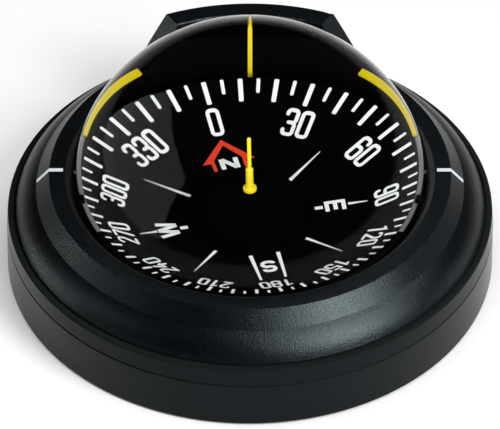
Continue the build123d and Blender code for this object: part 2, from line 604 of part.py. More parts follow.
with BuildPart() as bezel_cover:
    with BuildSketch(Plane.XZ):
        with BuildLine():
            groove_z = BAND_TOP_Z + SHOULDER_LIFT
            bulge_r = (SHOULDER_R + SLOPE_LOW_R) / 2 + SHOULDER_BULGE_R
            bulge_z = (groove_z + SLOPE_LOW_Z) / 2 + SHOULDER_BULGE_Z
            Polyline(
                (SEAM_R, COVER_Z),
                (CASE_R, BAND_TOP_Z - BAND_EDGE),
                (CASE_R - BAND_EDGE, BAND_TOP_Z),
                (SHOULDER_R + GROOVE_W, BAND_TOP_Z),
                (SHOULDER_R + GROOVE_W, BAND_TOP_Z - GROOVE_D),
                (SHOULDER_R, BAND_TOP_Z - GROOVE_D),
                (SHOULDER_R, groove_z),
            )
            ThreePointArc((SHOULDER_R, groove_z), (bulge_r, bulge_z), (SLOPE_LOW_R, SLOPE_LOW_Z))
            Polyline(
                (SLOPE_LOW_R, SLOPE_LOW_Z),
                (SLOPE_TOP_R, TOP_Z),
                (BEZEL_IN_R, TOP_Z),
                (BEZEL_IN_R, TOP_Z - WALL),
                (SLOPE_TOP_R - WALL * 0.45, TOP_Z - WALL),
                (SLOPE_LOW_R - WALL * 0.75, SLOPE_LOW_Z - WALL * 0.66),
            )
            ThreePointArc(
                (SLOPE_LOW_R - WALL * 0.75, SLOPE_LOW_Z - WALL * 0.66),
                (bulge_r - WALL * 0.73, bulge_z - WALL * 0.68),
                (SHOULDER_R - WALL * 0.95, BAND_TOP_Z - GROOVE_D),
            )
            Polyline(
                (SHOULDER_R - WALL * 0.95, BAND_TOP_Z - GROOVE_D),
                (INNER_R, COVER_Z + LIP_H + 0.5),
                (INNER_R, COVER_Z),
                (SEAM_R, COVER_Z),
            )
        make_face()
    revolve(axis=Axis.Z)
    with BuildSketch(Plane.XY.offset(FLOOR_T)):
        with PolarLocations(COVER_PCR, COVER_SCREWS, start_angle=45):
            Circle(COVER_BOSS_R)
    extrude(amount=BAND_TOP_Z + 1.5 - FLOOR_T)
    with Locations(Plane(origin=(0, 0, FLOOR_T), x_dir=(1, 0, 0), z_dir=(0, 0, -1))):
        with PolarLocations(COVER_PCR, COVER_SCREWS, start_angle=45):
            Hole(radius=CLAMP_SCREW_R, depth=BASE_H - FLOOR_T)
    add(hood_block.part)
    # lamp cavity inside the hood, open to the casing below, and its window
    with BuildSketch(ahead(-CAVITY_ARC / 2)):
        with BuildLine():
            Polyline(
                (HOOD_FRONT_R + HOOD_WALL, HOOD_LOW_Z - 4),
                (CAVITY_BACK_R, HOOD_LOW_Z - 4),
                (CAVITY_BACK_R, CAVITY_TOP_Z),
                (hood_front(CAVITY_TOP_Z) + HOOD_WALL, CAVITY_TOP_Z),
                (HOOD_FRONT_R + HOOD_WALL, TOP_Z),
                close=True,
            )
        make_face()
    revolve(axis=Axis.Z, revolution_arc=CAVITY_ARC, mode=Mode.SUBTRACT)
    with BuildSketch(ahead(-WINDOW_ARC / 2)):
        with BuildLine():
            Polyline(*front_band(WINDOW_LOW_Z, WINDOW_TOP_Z, -1, HOOD_WALL + 0.2), close=True)
        make_face()
    revolve(axis=Axis.Z, revolution_arc=WINDOW_ARC, mode=Mode.SUBTRACT)
bezel_cover.part.label = "bezel_cover"
export_step(bezel_cover.part, "parts/bezel_cover.step")

with BuildPart() as bezel_seal:
    with BuildSketch(Plane.XZ):
        with BuildLine():
            Polyline(
                (dome_radius(TOP_Z - WALL) + SEAT_GAP, TOP_Z - WALL),
                (BEZEL_IN_R, TOP_Z - WALL),
                (BEZEL_IN_R, TOP_Z - 0.3),
                (dome_radius(TOP_Z - 1.2) + SEAT_GAP, TOP_Z - 1.2),
                close=True,
            )
        make_face()
    revolve(axis=Axis.Z)
bezel_seal.part.label = "bezel_seal"
export_step(bezel_seal.part, "parts/bezel_seal.step")

with BuildPart() as cover_screws:
    with BuildSketch(Plane.XY.offset(FIT_GAP)):
        with PolarLocations(COVER_PCR, COVER_SCREWS, start_angle=45):
            Circle(HEAD_R)
    extrude(amount=COVER_HEAD_H)
    with BuildSketch(Plane.XY.offset(COVER_HEAD_H)):
        with PolarLocations(COVER_PCR, COVER_SCREWS, start_angle=45):
            Circle(CLAMP_SCREW_R)
    extrude(amount=BASE_H - COVER_HEAD_H - 1)
    with BuildSketch(Plane.XY.offset(FIT_GAP)):
        with PolarLocations(COVER_PCR, COVER_SCREWS, start_angle=45):
            RegularPolygon(radius=CLAMP_SCREW_R, side_count=6)
    extrude(amount=COVER_HEAD_H * SOCKET_SHARE, mode=Mode.SUBTRACT)
cover_screws.part.label = "cover_screws"
export_step(cover_screws.part, "parts/cover_screws.step")

# === lamp ===================================================================
with BuildPart() as lamp_lens:
    with BuildSketch(ahead(-WINDOW_ARC / 2)):
        with BuildLine():
            Polyline(
                *front_band(WINDOW_LOW_Z, WINDOW_TOP_Z, LENS_RECESS, LENS_RECESS + LENS_T), close=True
            )
        make_face()
    revolve(axis=Axis.Z, revolution_arc=WINDOW_ARC)
lamp_lens.part.label = "lamp_lens"
export_step(lamp_lens.part, "parts/lamp_lens.step")

HOUSING_NEAR = HOOD_WALL + SEAT_GAP
HOUSING_LOW_Z = WINDOW_LOW_Z - HOUSING_SILL
POCKET_LOW_Z = WINDOW_LOW_Z + POCKET_SILL
POCKET_TOP_Z = WINDOW_TOP_Z - POCKET_HEAD

with BuildPart() as lamp_housing:
    with BuildSketch(ahead(-HOUSING_ARC / 2)):
        with BuildLine():
            Polyline(
                (hood_front(HOUSING_LOW_Z) + HOUSING_NEAR, HOUSING_LOW_Z),
                (CAVITY_BACK_R, HOUSING_LOW_Z),
                (CAVITY_BACK_R, CAVITY_TOP_Z),
                (hood_front(CAVITY_TOP_Z) + HOUSING_NEAR, CAVITY_TOP_Z),
                close=True,
            )
        make_face()
    revolve(axis=Axis.Z, revolution_arc=HOUSING_ARC)
    with BuildSketch(ahead(-POCKET_ARC / 2)):
        with BuildLine():
            Polyline(
                *front_band(POCKET_LOW_Z, POCKET_TOP_Z, 0, HOUSING_NEAR + POCKET_D + BOARD_T), close=True
            )
        make_face()
    revolve(axis=Axis.Z, revolution_arc=POCKET_ARC, mode=Mode.SUBTRACT)
lamp_housing.part.label = "lamp_housing"
export_step(lamp_housing.part, "parts/lamp_housing.step")

with BuildPart() as lamp_board:
    with BuildSketch(ahead(-POCKET_ARC / 2)):
        with BuildLine():
            near = HOUSING_NEAR + POCKET_D
            Polyline(*front_band(POCKET_LOW_Z, POCKET_TOP_Z, near, near + BOARD_T), close=True)
        make_face()
    revolve(axis=Axis.Z, revolution_arc=POCKET_ARC)
lamp_board.part.label = "lamp_board"
export_step(lamp_board.part, "parts/lamp_board.step")

with BuildPart() as lamp_leds:
    for shift in (-POCKET_ARC / 3, 0, POCKET_ARC / 3):
        with BuildSketch(ahead(shift - LED_ARC / 2)):
            with BuildLine():
                near = HOUSING_NEAR + POCKET_D
                low_z = (POCKET_LOW_Z + POCKET_TOP_Z - LED_H) / 2
                Polyline(*front_band(low_z, low_z + LED_H, near - LED_T, near), close=True)
            make_face()
        revolve(axis=Axis.Z, revolution_arc=LED_ARC)
lamp_leds.part.label = "lamp_leds"
export_step(lamp_leds.part, "parts/lamp_leds.step")

INLET_BACK_R = INNER_R - WALL
INLET_FACE_R = CASE_R - INLET_RECESS
TAG_R = INLET_BACK_R - INLET_TAG_L
with BuildPart() as lamp_inlet:
    with BuildSketch(facing(INLET_ANGLE, INLET_BACK_R, INLET_Z)):
        Circle(INLET_R)
    extrude(amount=INLET_FACE_R - INLET_BACK_R)
    with BuildSketch(facing(INLET_ANGLE, TAG_R, INLET_Z)):
        with Locations((0, (INLET_TAG_TOP_Z - INLET_Z) / 2 - 1)):
            Rectangle(INLET_TAG_W, INLET_TAG_TOP_Z - INLET_Z + 2)
    extrude(amount=INLET_BACK_R - TAG_R)
    with BuildSketch(facing(INLET_ANGLE, INLET_FACE_R - INLET_SOCKET_D, INLET_Z)):
        Circle(INLET_SOCKET_R)
    extrude(amount=INLET_SOCKET_D + 1, mode=Mode.SUBTRACT)
lamp_inlet.part.label = "lamp_inlet"
export_step(lamp_inlet.part, "parts/lamp_inlet.step")

with BuildPart() as inlet_pins:
    with BuildSketch(facing(INLET_ANGLE, INLET_FACE_R - INLET_SOCKET_D, INLET_Z)):
        with Locations((-INLET_SOCKET_R / 2, 0), (INLET_SOCKET_R / 2, 0)):
            Circle(INLET_SOCKET_R / 5)
    extrude(amount=INLET_SOCKET_D - 1)
inlet_pins.part.label = "inlet_pins"
export_step(inlet_pins.part, "parts/inlet_pins.step")

LEAD_LOW_R = (CLAMP_R + LIP_R - LIP_T) / 2
LEAD_TOP_R = (HOOD_FRONT_R + HOOD_WALL + CAVITY_BACK_R) / 2 + LEAD_OUT
lead_points = [
    polar(INLET_ANGLE, LEAD_LOW_R, INLET_TAG_TOP_Z),
    polar(INLET_ANGLE, LEAD_LOW_R, CLAMP_TOP_Z + LEAD_CLEAR),
    polar(LEAD_ANGLE, LEAD_TOP_R, HOUSING_LOW_Z - LEAD_DROP),
    polar(LEAD_ANGLE, LEAD_TOP_R, HOUSING_LOW_Z),
]
with BuildPart() as lamp_lead:
    with BuildLine() as lead_path:
        FilletPolyline(*lead_points, radius=LEAD_BEND)
    with BuildSketch(Plane(origin=lead_path.line @ 0, z_dir=lead_path.line % 0)):
        Circle(LEAD_R)
    sweep()
lamp_lead.part.label = "lamp_lead"
export_step(lamp_lead.part, "parts/lamp_lead.step")

# === gimbal =================================================================
with BuildPart() as gimbal_carrier:
    with BuildSketch(Plane.XZ):
        with BuildLine():
            Polyline(
                (CARRIER_IN_R, BOWL_TOP_Z),
                (CARRIER_LIP_R, BOWL_TOP_Z),
                (CARRIER_LIP_R, BOWL_TOP_Z + REBATE_H - SEAT_GAP),
                (CARRIER_R, BOWL_TOP_Z + REBATE_H - SEAT_GAP),
                (CARRIER_R, BOWL_TOP_Z + CARRIER_H),
                (CARRIER_IN_R, BOWL_TOP_Z + CARRIER_H),
                close=True,
            )
        make_face()
    revolve(axis=Axis.Z)
    for angle in (90, 270):
        with BuildSketch(radial(angle - CARRIER_POST_ARC / 2)):
            with BuildLine():
                Polyline(
                    (CARRIER_IN_R, BOWL_TOP_Z),
                    (CARRIER_R, BOWL_TOP_Z),
                    (CARRIER_R, GIMBAL_Z + CARRIER_POST_H),
                    (CARRIER_IN_R, GIMBAL_Z + CARRIER_POST_H),
                    close=True,
                )
            make_face()
        revolve(axis=Axis.Z, revolution_arc=CARRIER_POST_ARC)
        with BuildSketch(facing(angle, CARRIER_IN_R - 1, GIMBAL_Z)):
            Circle(PIN_R)
        extrude(amount=CARRIER_R - CARRIER_IN_R + 2, mode=Mode.SUBTRACT)
gimbal_carrier.part.label = "gimbal_carrier"
export_step(gimbal_carrier.part, "parts/gimbal_carrier.step")

with BuildPart() as roll_pins:
    for angle in (90, 270):
        with BuildSketch(facing(angle, RING_IN_R + 0.5, GIMBAL_Z)):
            Circle(PIN_R)
        extrude(amount=CARRIER_R - 0.4 - RING_IN_R - 0.5)
        with BuildSketch(facing(angle, RING_OUT_R + FIT_GAP, GIMBAL_Z)):
            Circle(COLLAR_R)
        extrude(amount=CARRIER_IN_R - FIT_GAP - RING_OUT_R - FIT_GAP)
roll_pins.part.label = "roll_pins"
export_step(roll_pins.part, "parts/roll_pins.step")

with BuildPart() as gimbal_ring:
    with BuildSketch(Plane.XY.offset(RING_LOW_Z)):
        Circle(RING_OUT_R)
        Circle(RING_IN_R, mode=Mode.SUBTRACT)
    extrude(amount=RING_H)
    chamfer(gimbal_ring.edges().filter_by(GeomType.CIRCLE), length=RING_EDGE)
    for angle, bore in ((0, PIN_R), (90, PIN_R + RUN_GAP), (180, PIN_R), (270, PIN_R + RUN_GAP)):
        with BuildSketch(facing(angle, RING_IN_R - 2, GIMBAL_Z)):
            Circle(bore)
        extrude(amount=RING_OUT_R - RING_IN_R + 4, mode=Mode.SUBTRACT)
gimbal_ring.part.label = "gimbal_ring"
export_step(gimbal_ring.part, "parts/gimbal_ring.step")

with BuildPart() as pitch_pins:
    for angle in (0, 180):
        with BuildSketch(facing(angle, TRUNNION_END_R + FIT_GAP, GIMBAL_Z)):
            Circle(PIN_R)
        extrude(amount=RING_OUT_R - FIT_GAP - TRUNNION_END_R - FIT_GAP)
pitch_pins.part.label = "pitch_pins"
export_step(pitch_pins.part, "parts/pitch_pins.step")

with BuildPart() as cradle_arms:
    with BuildSketch(Plane.XZ):
        with BuildLine():
            Polyline(
                (0, HUB_TOP_Z),
                (HUB_FLAT_R, HUB_TOP_Z),
                (DIAL_BREAK_R, ARM_BREAK_Z),
                (LUBBER_IN_R + 1, ARM_OUT_Z),
                (LUBBER_IN_R + 1, ARM_OUT_Z - ARM_T),
                (DIAL_BREAK_R, ARM_BREAK_Z - ARM_T),
                (HUB_FLAT_R, HUB_TOP_Z - ARM_T),
                (0, HUB_TOP_Z - ARM_T),
                close=True,
            )
        make_face()
    revolve(axis=Axis.Z)
    with BuildSketch(Plane.XY):
        for angle in (45, 135):
            Rectangle(2 * LUBBER_OUT_R, ARM_W, rotation=angle)
        Circle(HUB_R)
    extrude(amount=LUBBER_TOP_Z, mode=Mode.INTERSECT)

with BuildPart() as cradle:
    with BuildSketch(Plane.XZ):
        with BuildLine():
            Polyline(
                (LUBBER_IN_R, LUBBER_LOW_Z),
                (LUBBER_OUT_R, LUBBER_LOW_Z),
                (LUBBER_OUT_R, LUBBER_TOP_Z),
                (LUBBER_IN_R, LUBBER_TOP_Z),
                close=True,
            )
        make_face()
    revolve(axis=Axis.Z)
    for angle in (0, 180):
        with BuildSketch(facing(angle, LUBBER_IN_R + 0.4, GIMBAL_Z)):
            Circle(TRUNNION_R)
        extrude(amount=TRUNNION_OUT_R - LUBBER_IN_R - 0.4)
        with BuildSketch(facing(angle, TRUNNION_END_R, GIMBAL_Z)):
            Circle(PIN_R + RUN_GAP)
        extrude(amount=TRUNNION_OUT_R, mode=Mode.SUBTRACT)
    add(cradle_arms.part)
    with BuildSketch(Plane.XY.offset(HUB_TOP_Z + 1)):
        Circle(POST_R)
    extrude(amount=-ARM_T - 2, mode=Mode.SUBTRACT)
    with BuildSketch(Plane(origin=(0, LUBBER_POST_Y, 0), x_dir=(1, 0, 0), z_dir=(0, -1, 0))):
        with Locations((0, LUBBER_TOP_Z)):
            Rectangle(LUBBER_POST_W, 2 * (LUBBER_TOP_Z - DOME_Z + LUBBER_POST_LOW))
    extrude(amount=-LUBBER_POST_T, mode=Mode.SUBTRACT)
cradle.part.label = "cradle"
export_step(cradle.part, "parts/cradle.step")

with BuildPart() as cradle_weight:
    with BuildSketch(Plane.XY.offset(WEIGHT_LOW_Z)):
        Circle(WEIGHT_R)
        Circle(POST_R, mode=Mode.SUBTRACT)
    extrude(amount=WEIGHT_T)
    low_edges = cradle_weight.edges().filter_by(GeomType.CIRCLE).group_by(Axis.Z)[0]
    chamfer(low_edges.sort_by(SortBy.RADIUS)[-1], length=WEIGHT_CHAMFER)
cradle_weight.part.label = "cradle_weight"
export_step(cradle_weight.part, "parts/cradle_weight.step")

with BuildPart() as pivot_post:
    with BuildSketch(Plane.XZ):
        with BuildLine():
            Polyline(
                (0, WEIGHT_LOW_Z),
                (POST_R, WEIGHT_LOW_Z),
                (POST_R, DOME_Z - POST_TIP_H),
                (POST_TIP_R, DOME_Z - SEAT_GAP),
                (0, DOME_Z),
                close=True,
            )
        make_face()
    revolve(axis=Axis.Z)
pivot_post.part.label = "pivot_post"
export_step(pivot_post.part, "parts/pivot_post.step")

with BuildPart() as lubber_arcs:
    for start in (-ARC_TO, ARC_FROM):
        with BuildSketch(ahead(start)):
            with Locations((LUBBER_IN_R - ARC_IN + ARC_W / 2, LUBBER_TOP_Z + ARC_T / 2)):
                Rectangle(ARC_W, ARC_T)
        revolve(axis=Axis.Z, revolution_arc=ARC_TO - ARC_FROM)
    with BuildSketch(Plane.XY.offset(LUBBER_TOP_Z)):
        with Locations((0, ARC_EDGE_Y)):
            Circle(LUBBER_IN_R + ARC_EDGE_OUT)
    extrude(amount=ARC_T, mode=Mode.INTERSECT)
lubber_arcs.part.label = "lubber_arcs"
export_step(lubber_arcs.part, "parts/lubber_arcs.step")

with BuildPart() as lubber_post:
    with BuildSketch(Plane(origin=(0, LUBBER_POST_Y, 0), x_dir=(1, 0, 0), z_dir=(0, -1, 0))):
        with BuildLine():
            post_low = DOME_Z - LUBBER_POST_LOW
            post_top = DOME_Z + LUBBER_POST_TOP
            Polyline(
                (-LUBBER_POST_W / 2, post_low),
                (LUBBER_POST_W / 2, post_low),
                (LUBBER_POST_W / 2, post_top - LUBBER_POST_POINT),
                (LUBBER_POST_W / 8, post_top),
                (-LUBBER_POST_W / 8, post_top),
                (-LUBBER_POST_W / 2, post_top - LUBBER_POST_POINT),
                close=True,
            )
        make_face()
    extrude(amount=-LUBBER_POST_T)
lubber_post.part.label = "lubber_post"
export_step(lubber_post.part, "parts/lubber_post.step")

# === dial ===================================================================
# The dial's own frame: origin at the dome's centre, x to the dial's east, y to its north.
dip = radians(DIAL_DIP)
north = radians(HEADING)
dial_east = Vector(cos(north), sin(north), 0)
dial_axis = Vector(-sin(north) * sin(dip), cos(north) * sin(dip), cos(dip))
dial_plane = Plane(origin=(0, 0, DOME_Z), x_dir=dial_east, z_dir=dial_axis)
dial_section = Plane(origin=(0, 0, DOME_Z), x_dir=dial_east, z_dir=dial_east.cross(dial_axis))
spin_axis = Axis((0, 0, DOME_Z), dial_axis)

with BuildPart() as card_dial:
    with BuildSketch(dial_section):
        with BuildLine():
            Polyline(
                (DIAL_HOLE_R, -DIAL_FACE),
                (DIAL_BREAK_R, -DIAL_FACE),
                (DIAL_R, DIAL_RIM_RISE - DIAL_FACE),
                (DIAL_R, DIAL_RIM_RISE - DIAL_FACE - DIAL_T),
                (DIAL_BREAK_R, -DIAL_FACE - DIAL_T),
                (DIAL_HOLE_R, -DIAL_FACE - DIAL_T),
                close=True,
            )
        make_face()
    revolve(axis=spin_axis)
card_dial.part.label = "card_dial"
export_step(card_dial.part, "parts/card_dial.step")

with BuildPart() as card_hub:
    with BuildSketch(dial_section):
        with BuildLine():
            hub_top = Line((0, CENTRE_TOP), (CENTRE_FLAT_R, CENTRE_TOP))
            crown = TangentArc((CENTRE_FLAT_R, CENTRE_TOP), (CENTRE_EDGE_R, CENTRE_EDGE_H), tangent=(1, 0))
            TangentArc(crown @ 1, (CENTRE_R, -DIAL_FACE), tangent=crown % 1)
            Polyline(
                (CENTRE_R, -DIAL_FACE),
                (CENTRE_R - 2 * CENTRE_WALL, -DIAL_FACE),
                (CENTRE_R - 2 * CENTRE_WALL - 0.4, -DIAL_FACE + CENTRE_WALL),
                (CENTRE_EDGE_R - CENTRE_WALL / 2, CENTRE_EDGE_H - 1.3 * CENTRE_WALL),
                (JEWEL_BOSS_R, CENTRE_TOP - 1.2 * CENTRE_WALL),
                (JEWEL_BOSS_R, CENTRE_TOP - CENTRE_WALL - JEWEL_H),
                (JEWEL_R, CENTRE_TOP - CENTRE_WALL - JEWEL_H),
                (JEWEL_R, CENTRE_TOP - CENTRE_WALL),
                (0, CENTRE_TOP - CENTRE_WALL),
                (0, CENTRE_TOP),
            )
        make_face()
    revolve(axis=spin_axis)
card_hub.part.label = "card_hub"
export_step(card_hub.part, "parts/card_hub.step")

JEWEL_TOP = CENTRE_TOP - CENTRE_WALL
with BuildPart() as jewel_cup:
    with BuildSketch(dial_section):
        with BuildLine():
            Polyline(
                (0, JEWEL_TOP),
                (JEWEL_R, JEWEL_TOP),
                (JEWEL_R, JEWEL_TOP - JEWEL_H),
                (JEWEL_MOUTH_R, JEWEL_TOP - JEWEL_H),
                (0, JEWEL_PLAY),
                close=True,
            )
        make_face()
    revolve(axis=spin_axis)
jewel_cup.part.label = "jewel_cup"
export_step(jewel_cup.part, "parts/jewel_cup.step")

with BuildPart() as card_float:
    with BuildSketch(dial_section):
        with BuildLine():
            Polyline(
                (FLOAT_WELL_R, -FLOAT_LOW),
                (FLOAT_R - 1, -FLOAT_LOW),
                (FLOAT_R, -FLOAT_LOW + 1),
                (FLOAT_R, -DIAL_FACE - DIAL_T),
                (FLOAT_STEM_R, -DIAL_FACE - DIAL_T),
                (FLOAT_STEM_R, -DIAL_FACE + 0.8),
                (CENTRE_EDGE_R - 1.5, -FLOAT_STEM_TOP),
                (FLOAT_WELL_R, -FLOAT_STEM_TOP),
                close=True,
            )
        make_face()
    revolve(axis=spin_axis)
    with BuildSketch(dial_plane.offset(-FLOAT_LOW)):
        with Locations((-MAGNET_OFFSET, 0), (MAGNET_OFFSET, 0)):
            Rectangle(MAGNET_W, MAGNET_L)
    extrude(amount=MAGNET_T, mode=Mode.SUBTRACT)
card_float.part.label = "card_float"
export_step(card_float.part, "parts/card_float.step")

with BuildPart() as card_magnets:
    with BuildSketch(dial_plane.offset(-FLOAT_LOW)):
        with Locations((-MAGNET_OFFSET, 0), (MAGNET_OFFSET, 0)):
            Rectangle(MAGNET_W, MAGNET_L)
    extrude(amount=MAGNET_T)
card_magnets.part.label = "card_magnets"
export_step(card_magnets.part, "parts/card_magnets.step")

with BuildPart() as card_needle:
    with BuildSketch(dial_section):
        with BuildLine():
            base_top = CENTRE_TOP + NEEDLE_BASE_H
            sleeve_top = base_top + NEEDLE_SLEEVE_H
            pin_top = sleeve_top + NEEDLE_PIN_H
            Polyline(
                (0, CENTRE_TOP),
                (NEEDLE_BASE_R, CENTRE_TOP),
                (NEEDLE_BASE_R, base_top),
                (NEEDLE_SLEEVE_R, base_top),
                (NEEDLE_SLEEVE_R, sleeve_top),
                (NEEDLE_R, sleeve_top + NEEDLE_TIP - SEAT_GAP),
                (NEEDLE_R, pin_top - NEEDLE_TIP),
                (NEEDLE_R / 2, pin_top),
                (0, pin_top),
                close=True,
            )
        make_face()
    revolve(axis=spin_axis)
card_needle.part.label = "card_needle"
export_step(card_needle.part, "parts/card_needle.step")

# === correctors =============================================================
SPINDLE_IN_R = FLOOR_IN_R + SPINDLE_START
HEAD_IN_R = CASE_R - SPINDLE_HEAD_L - SPINDLE_HEAD_SINK
for side, angle in CORRECTORS:
    with BuildPart() as spindle:
        with BuildSketch(facing(angle, SPINDLE_IN_R, CORRECTOR_Z)):
            Circle(SPINDLE_R)
        extrude(amount=HEAD_IN_R - SPINDLE_IN_R)
        with BuildSketch(facing(angle, HEAD_IN_R, CORRECTOR_Z)):
            Circle(SPINDLE_HEAD_R)
        extrude(amount=SPINDLE_HEAD_L)
        with BuildSketch(facing(angle, HEAD_IN_R + SPINDLE_HEAD_L, CORRECTOR_Z)):
            Rectangle(2 * SPINDLE_HEAD_R + 1, SPINDLE_SLOT_W)
        extrude(amount=-SPINDLE_SLOT_W * 1.2, mode=Mode.SUBTRACT)
        with BuildSketch(facing(angle, CORRECTOR_MAGNET_AT - CORRECTOR_MAGNET_W / 2, CORRECTOR_Z)):
            Rectangle(CORRECTOR_MAGNET_W, CORRECTOR_MAGNET_L)
        extrude(amount=CORRECTOR_MAGNET_W, mode=Mode.SUBTRACT)
    spindle.part.label = side + "_corrector_spindle"
    export_step(spindle.part, "parts/" + side + "_corrector_spindle.step")

    with BuildPart() as corrector_magnet:
        with BuildSketch(facing(angle, CORRECTOR_MAGNET_AT - CORRECTOR_MAGNET_W / 2, CORRECTOR_Z)):
            Rectangle(CORRECTOR_MAGNET_W, CORRECTOR_MAGNET_L)
        extrude(amount=CORRECTOR_MAGNET_W)
    corrector_magnet.part.label = side + "_corrector_magnet"
    export_step(corrector_magnet.part, "parts/" + side + "_corrector_magnet.step")

    with BuildPart() as clip:
        with BuildSketch(facing(angle, INNER_R - WALL - CLIP_GAP - CLIP_T, CORRECTOR_Z)):
            Circle(CLIP_R)
            Circle(SPINDLE_R, mode=Mode.SUBTRACT)
        extrude(amount=CLIP_T)
    clip.part.label = side + "_corrector_clip"
    export_step(clip.part, "parts/" + side + "_corrector_clip.step")

# === expansion bellows and filler ===========================================
with BuildPart() as expansion_bellows:
    bellows_section = Plane(origin=(-BELLOWS_AT, 0, FLOOR_T), x_dir=(1, 0, 0), z_dir=(0, -1, 0))
    with BuildSketch(bellows_section):
        with BuildLine():
            pleat = (BELLOWS_H - 2 * BELLOWS_CAP) / BELLOWS_PLEATS
            outline = [(0, 0), (BELLOWS_R, 0)]
            for k in range(BELLOWS_PLEATS):
                level = BELLOWS_CAP + k * pleat
                outline.append((BELLOWS_R, level))
                outline.append((BELLOWS_R - BELLOWS_DEPTH, level + pleat / 2))
            outline.append((BELLOWS_R, BELLOWS_H - BELLOWS_CAP))
            outline.append((BELLOWS_R, BELLOWS_H))
            outline.append((0, BELLOWS_H))
            Polyline(*outline, close=True)
        make_face()
    revolve(axis=Axis((-BELLOWS_AT, 0, 0), (0, 0, 1)))
    with BuildSketch(facing(180, BOWL_IN_R + 0.2, NECK_Z)):
        Circle(NECK_R)
    extrude(amount=BELLOWS_AT - BELLOWS_R + BELLOWS_DEPTH + 1 - BOWL_IN_R)
expansion_bellows.part.label = "expansion_bellows"
export_step(expansion_bellows.part, "parts/expansion_bellows.step")

FILLER_FACE_R = BOWL_R + FILLER_BOSS_L
with BuildPart() as filler_seal:
    with BuildSketch(facing(270, FILLER_FACE_R, FILLER_Z)):
        Circle(FILLER_HEAD_R - FILLER_SEAL_EDGE)
        Circle(FILLER_R, mode=Mode.SUBTRACT)
    extrude(amount=FILLER_SEAL_T)
filler_seal.part.label = "filler_seal"
export_step(filler_seal.part, "parts/filler_seal.step")

with BuildPart() as filler_plug:
    with BuildSketch(facing(270, BOWL_IN_R + 0.5, FILLER_Z)):
        Circle(FILLER_R)
    extrude(amount=FILLER_FACE_R + FILLER_SEAL_T - BOWL_IN_R - 0.5)
    with BuildSketch(facing(270, FILLER_FACE_R + FILLER_SEAL_T, FILLER_Z)):
        Circle(FILLER_HEAD_R)
    extrude(amount=FILLER_HEAD_T)
    with BuildSketch(facing(270, FILLER_FACE_R + FILLER_SEAL_T + FILLER_HEAD_T, FILLER_Z)):
        RegularPolygon(radius=FILLER_HEAD_R / 2, side_count=6)
    extrude(amount=-FILLER_HEAD_T * SOCKET_SHARE, mode=Mode.SUBTRACT)
filler_plug.part.label = "filler_plug"
export_step(filler_plug.part, "parts/filler_plug.step")
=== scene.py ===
"""Domed deck compass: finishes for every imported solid, the clear liquid body and the dial's print."""
import json
import logging
import math
from collections.abc import Callable
from dataclasses import dataclass, field
from enum import Enum

import bmesh
import bpy
from mathutils import Matrix, Vector

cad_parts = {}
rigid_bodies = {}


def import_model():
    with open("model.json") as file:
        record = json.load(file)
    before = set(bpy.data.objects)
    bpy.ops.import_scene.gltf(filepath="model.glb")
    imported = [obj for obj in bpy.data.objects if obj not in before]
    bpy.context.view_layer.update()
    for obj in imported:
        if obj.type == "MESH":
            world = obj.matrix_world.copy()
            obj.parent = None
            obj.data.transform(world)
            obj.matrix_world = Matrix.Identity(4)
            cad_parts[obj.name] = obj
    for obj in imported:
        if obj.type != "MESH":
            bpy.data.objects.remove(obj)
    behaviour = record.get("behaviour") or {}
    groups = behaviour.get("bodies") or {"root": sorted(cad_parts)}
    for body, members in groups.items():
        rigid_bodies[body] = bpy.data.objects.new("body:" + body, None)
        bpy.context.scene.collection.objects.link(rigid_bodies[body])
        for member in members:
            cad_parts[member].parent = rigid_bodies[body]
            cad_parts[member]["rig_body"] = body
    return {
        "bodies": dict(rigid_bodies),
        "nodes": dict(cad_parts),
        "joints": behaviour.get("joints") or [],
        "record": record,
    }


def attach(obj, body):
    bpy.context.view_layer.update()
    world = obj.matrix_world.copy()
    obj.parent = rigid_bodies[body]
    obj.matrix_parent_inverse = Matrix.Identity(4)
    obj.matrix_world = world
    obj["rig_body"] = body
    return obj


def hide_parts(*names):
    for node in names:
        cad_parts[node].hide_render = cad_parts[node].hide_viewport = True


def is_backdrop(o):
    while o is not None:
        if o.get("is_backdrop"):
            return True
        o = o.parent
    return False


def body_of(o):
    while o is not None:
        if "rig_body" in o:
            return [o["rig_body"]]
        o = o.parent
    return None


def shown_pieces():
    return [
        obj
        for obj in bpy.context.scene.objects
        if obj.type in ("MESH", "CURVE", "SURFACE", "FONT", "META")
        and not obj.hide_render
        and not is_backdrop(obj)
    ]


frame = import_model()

# Sizes of the object are in millimetres, and those of the studio in metres.
MM = 0.001
LOG = logging.getLogger("compass")
Flat = tuple[float, float]
Point = tuple[float, float, float]
Colour = tuple[float, float, float]
Stroke = tuple[Flat, ...]
FlatPlace = Callable[[float, float], Flat]
SolidPlace = Callable[[float, float, float], Vector | Point]
Sockets = bpy.types.bpy_prop_collection
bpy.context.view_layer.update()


# --- node trees --------------------------------------------------------------


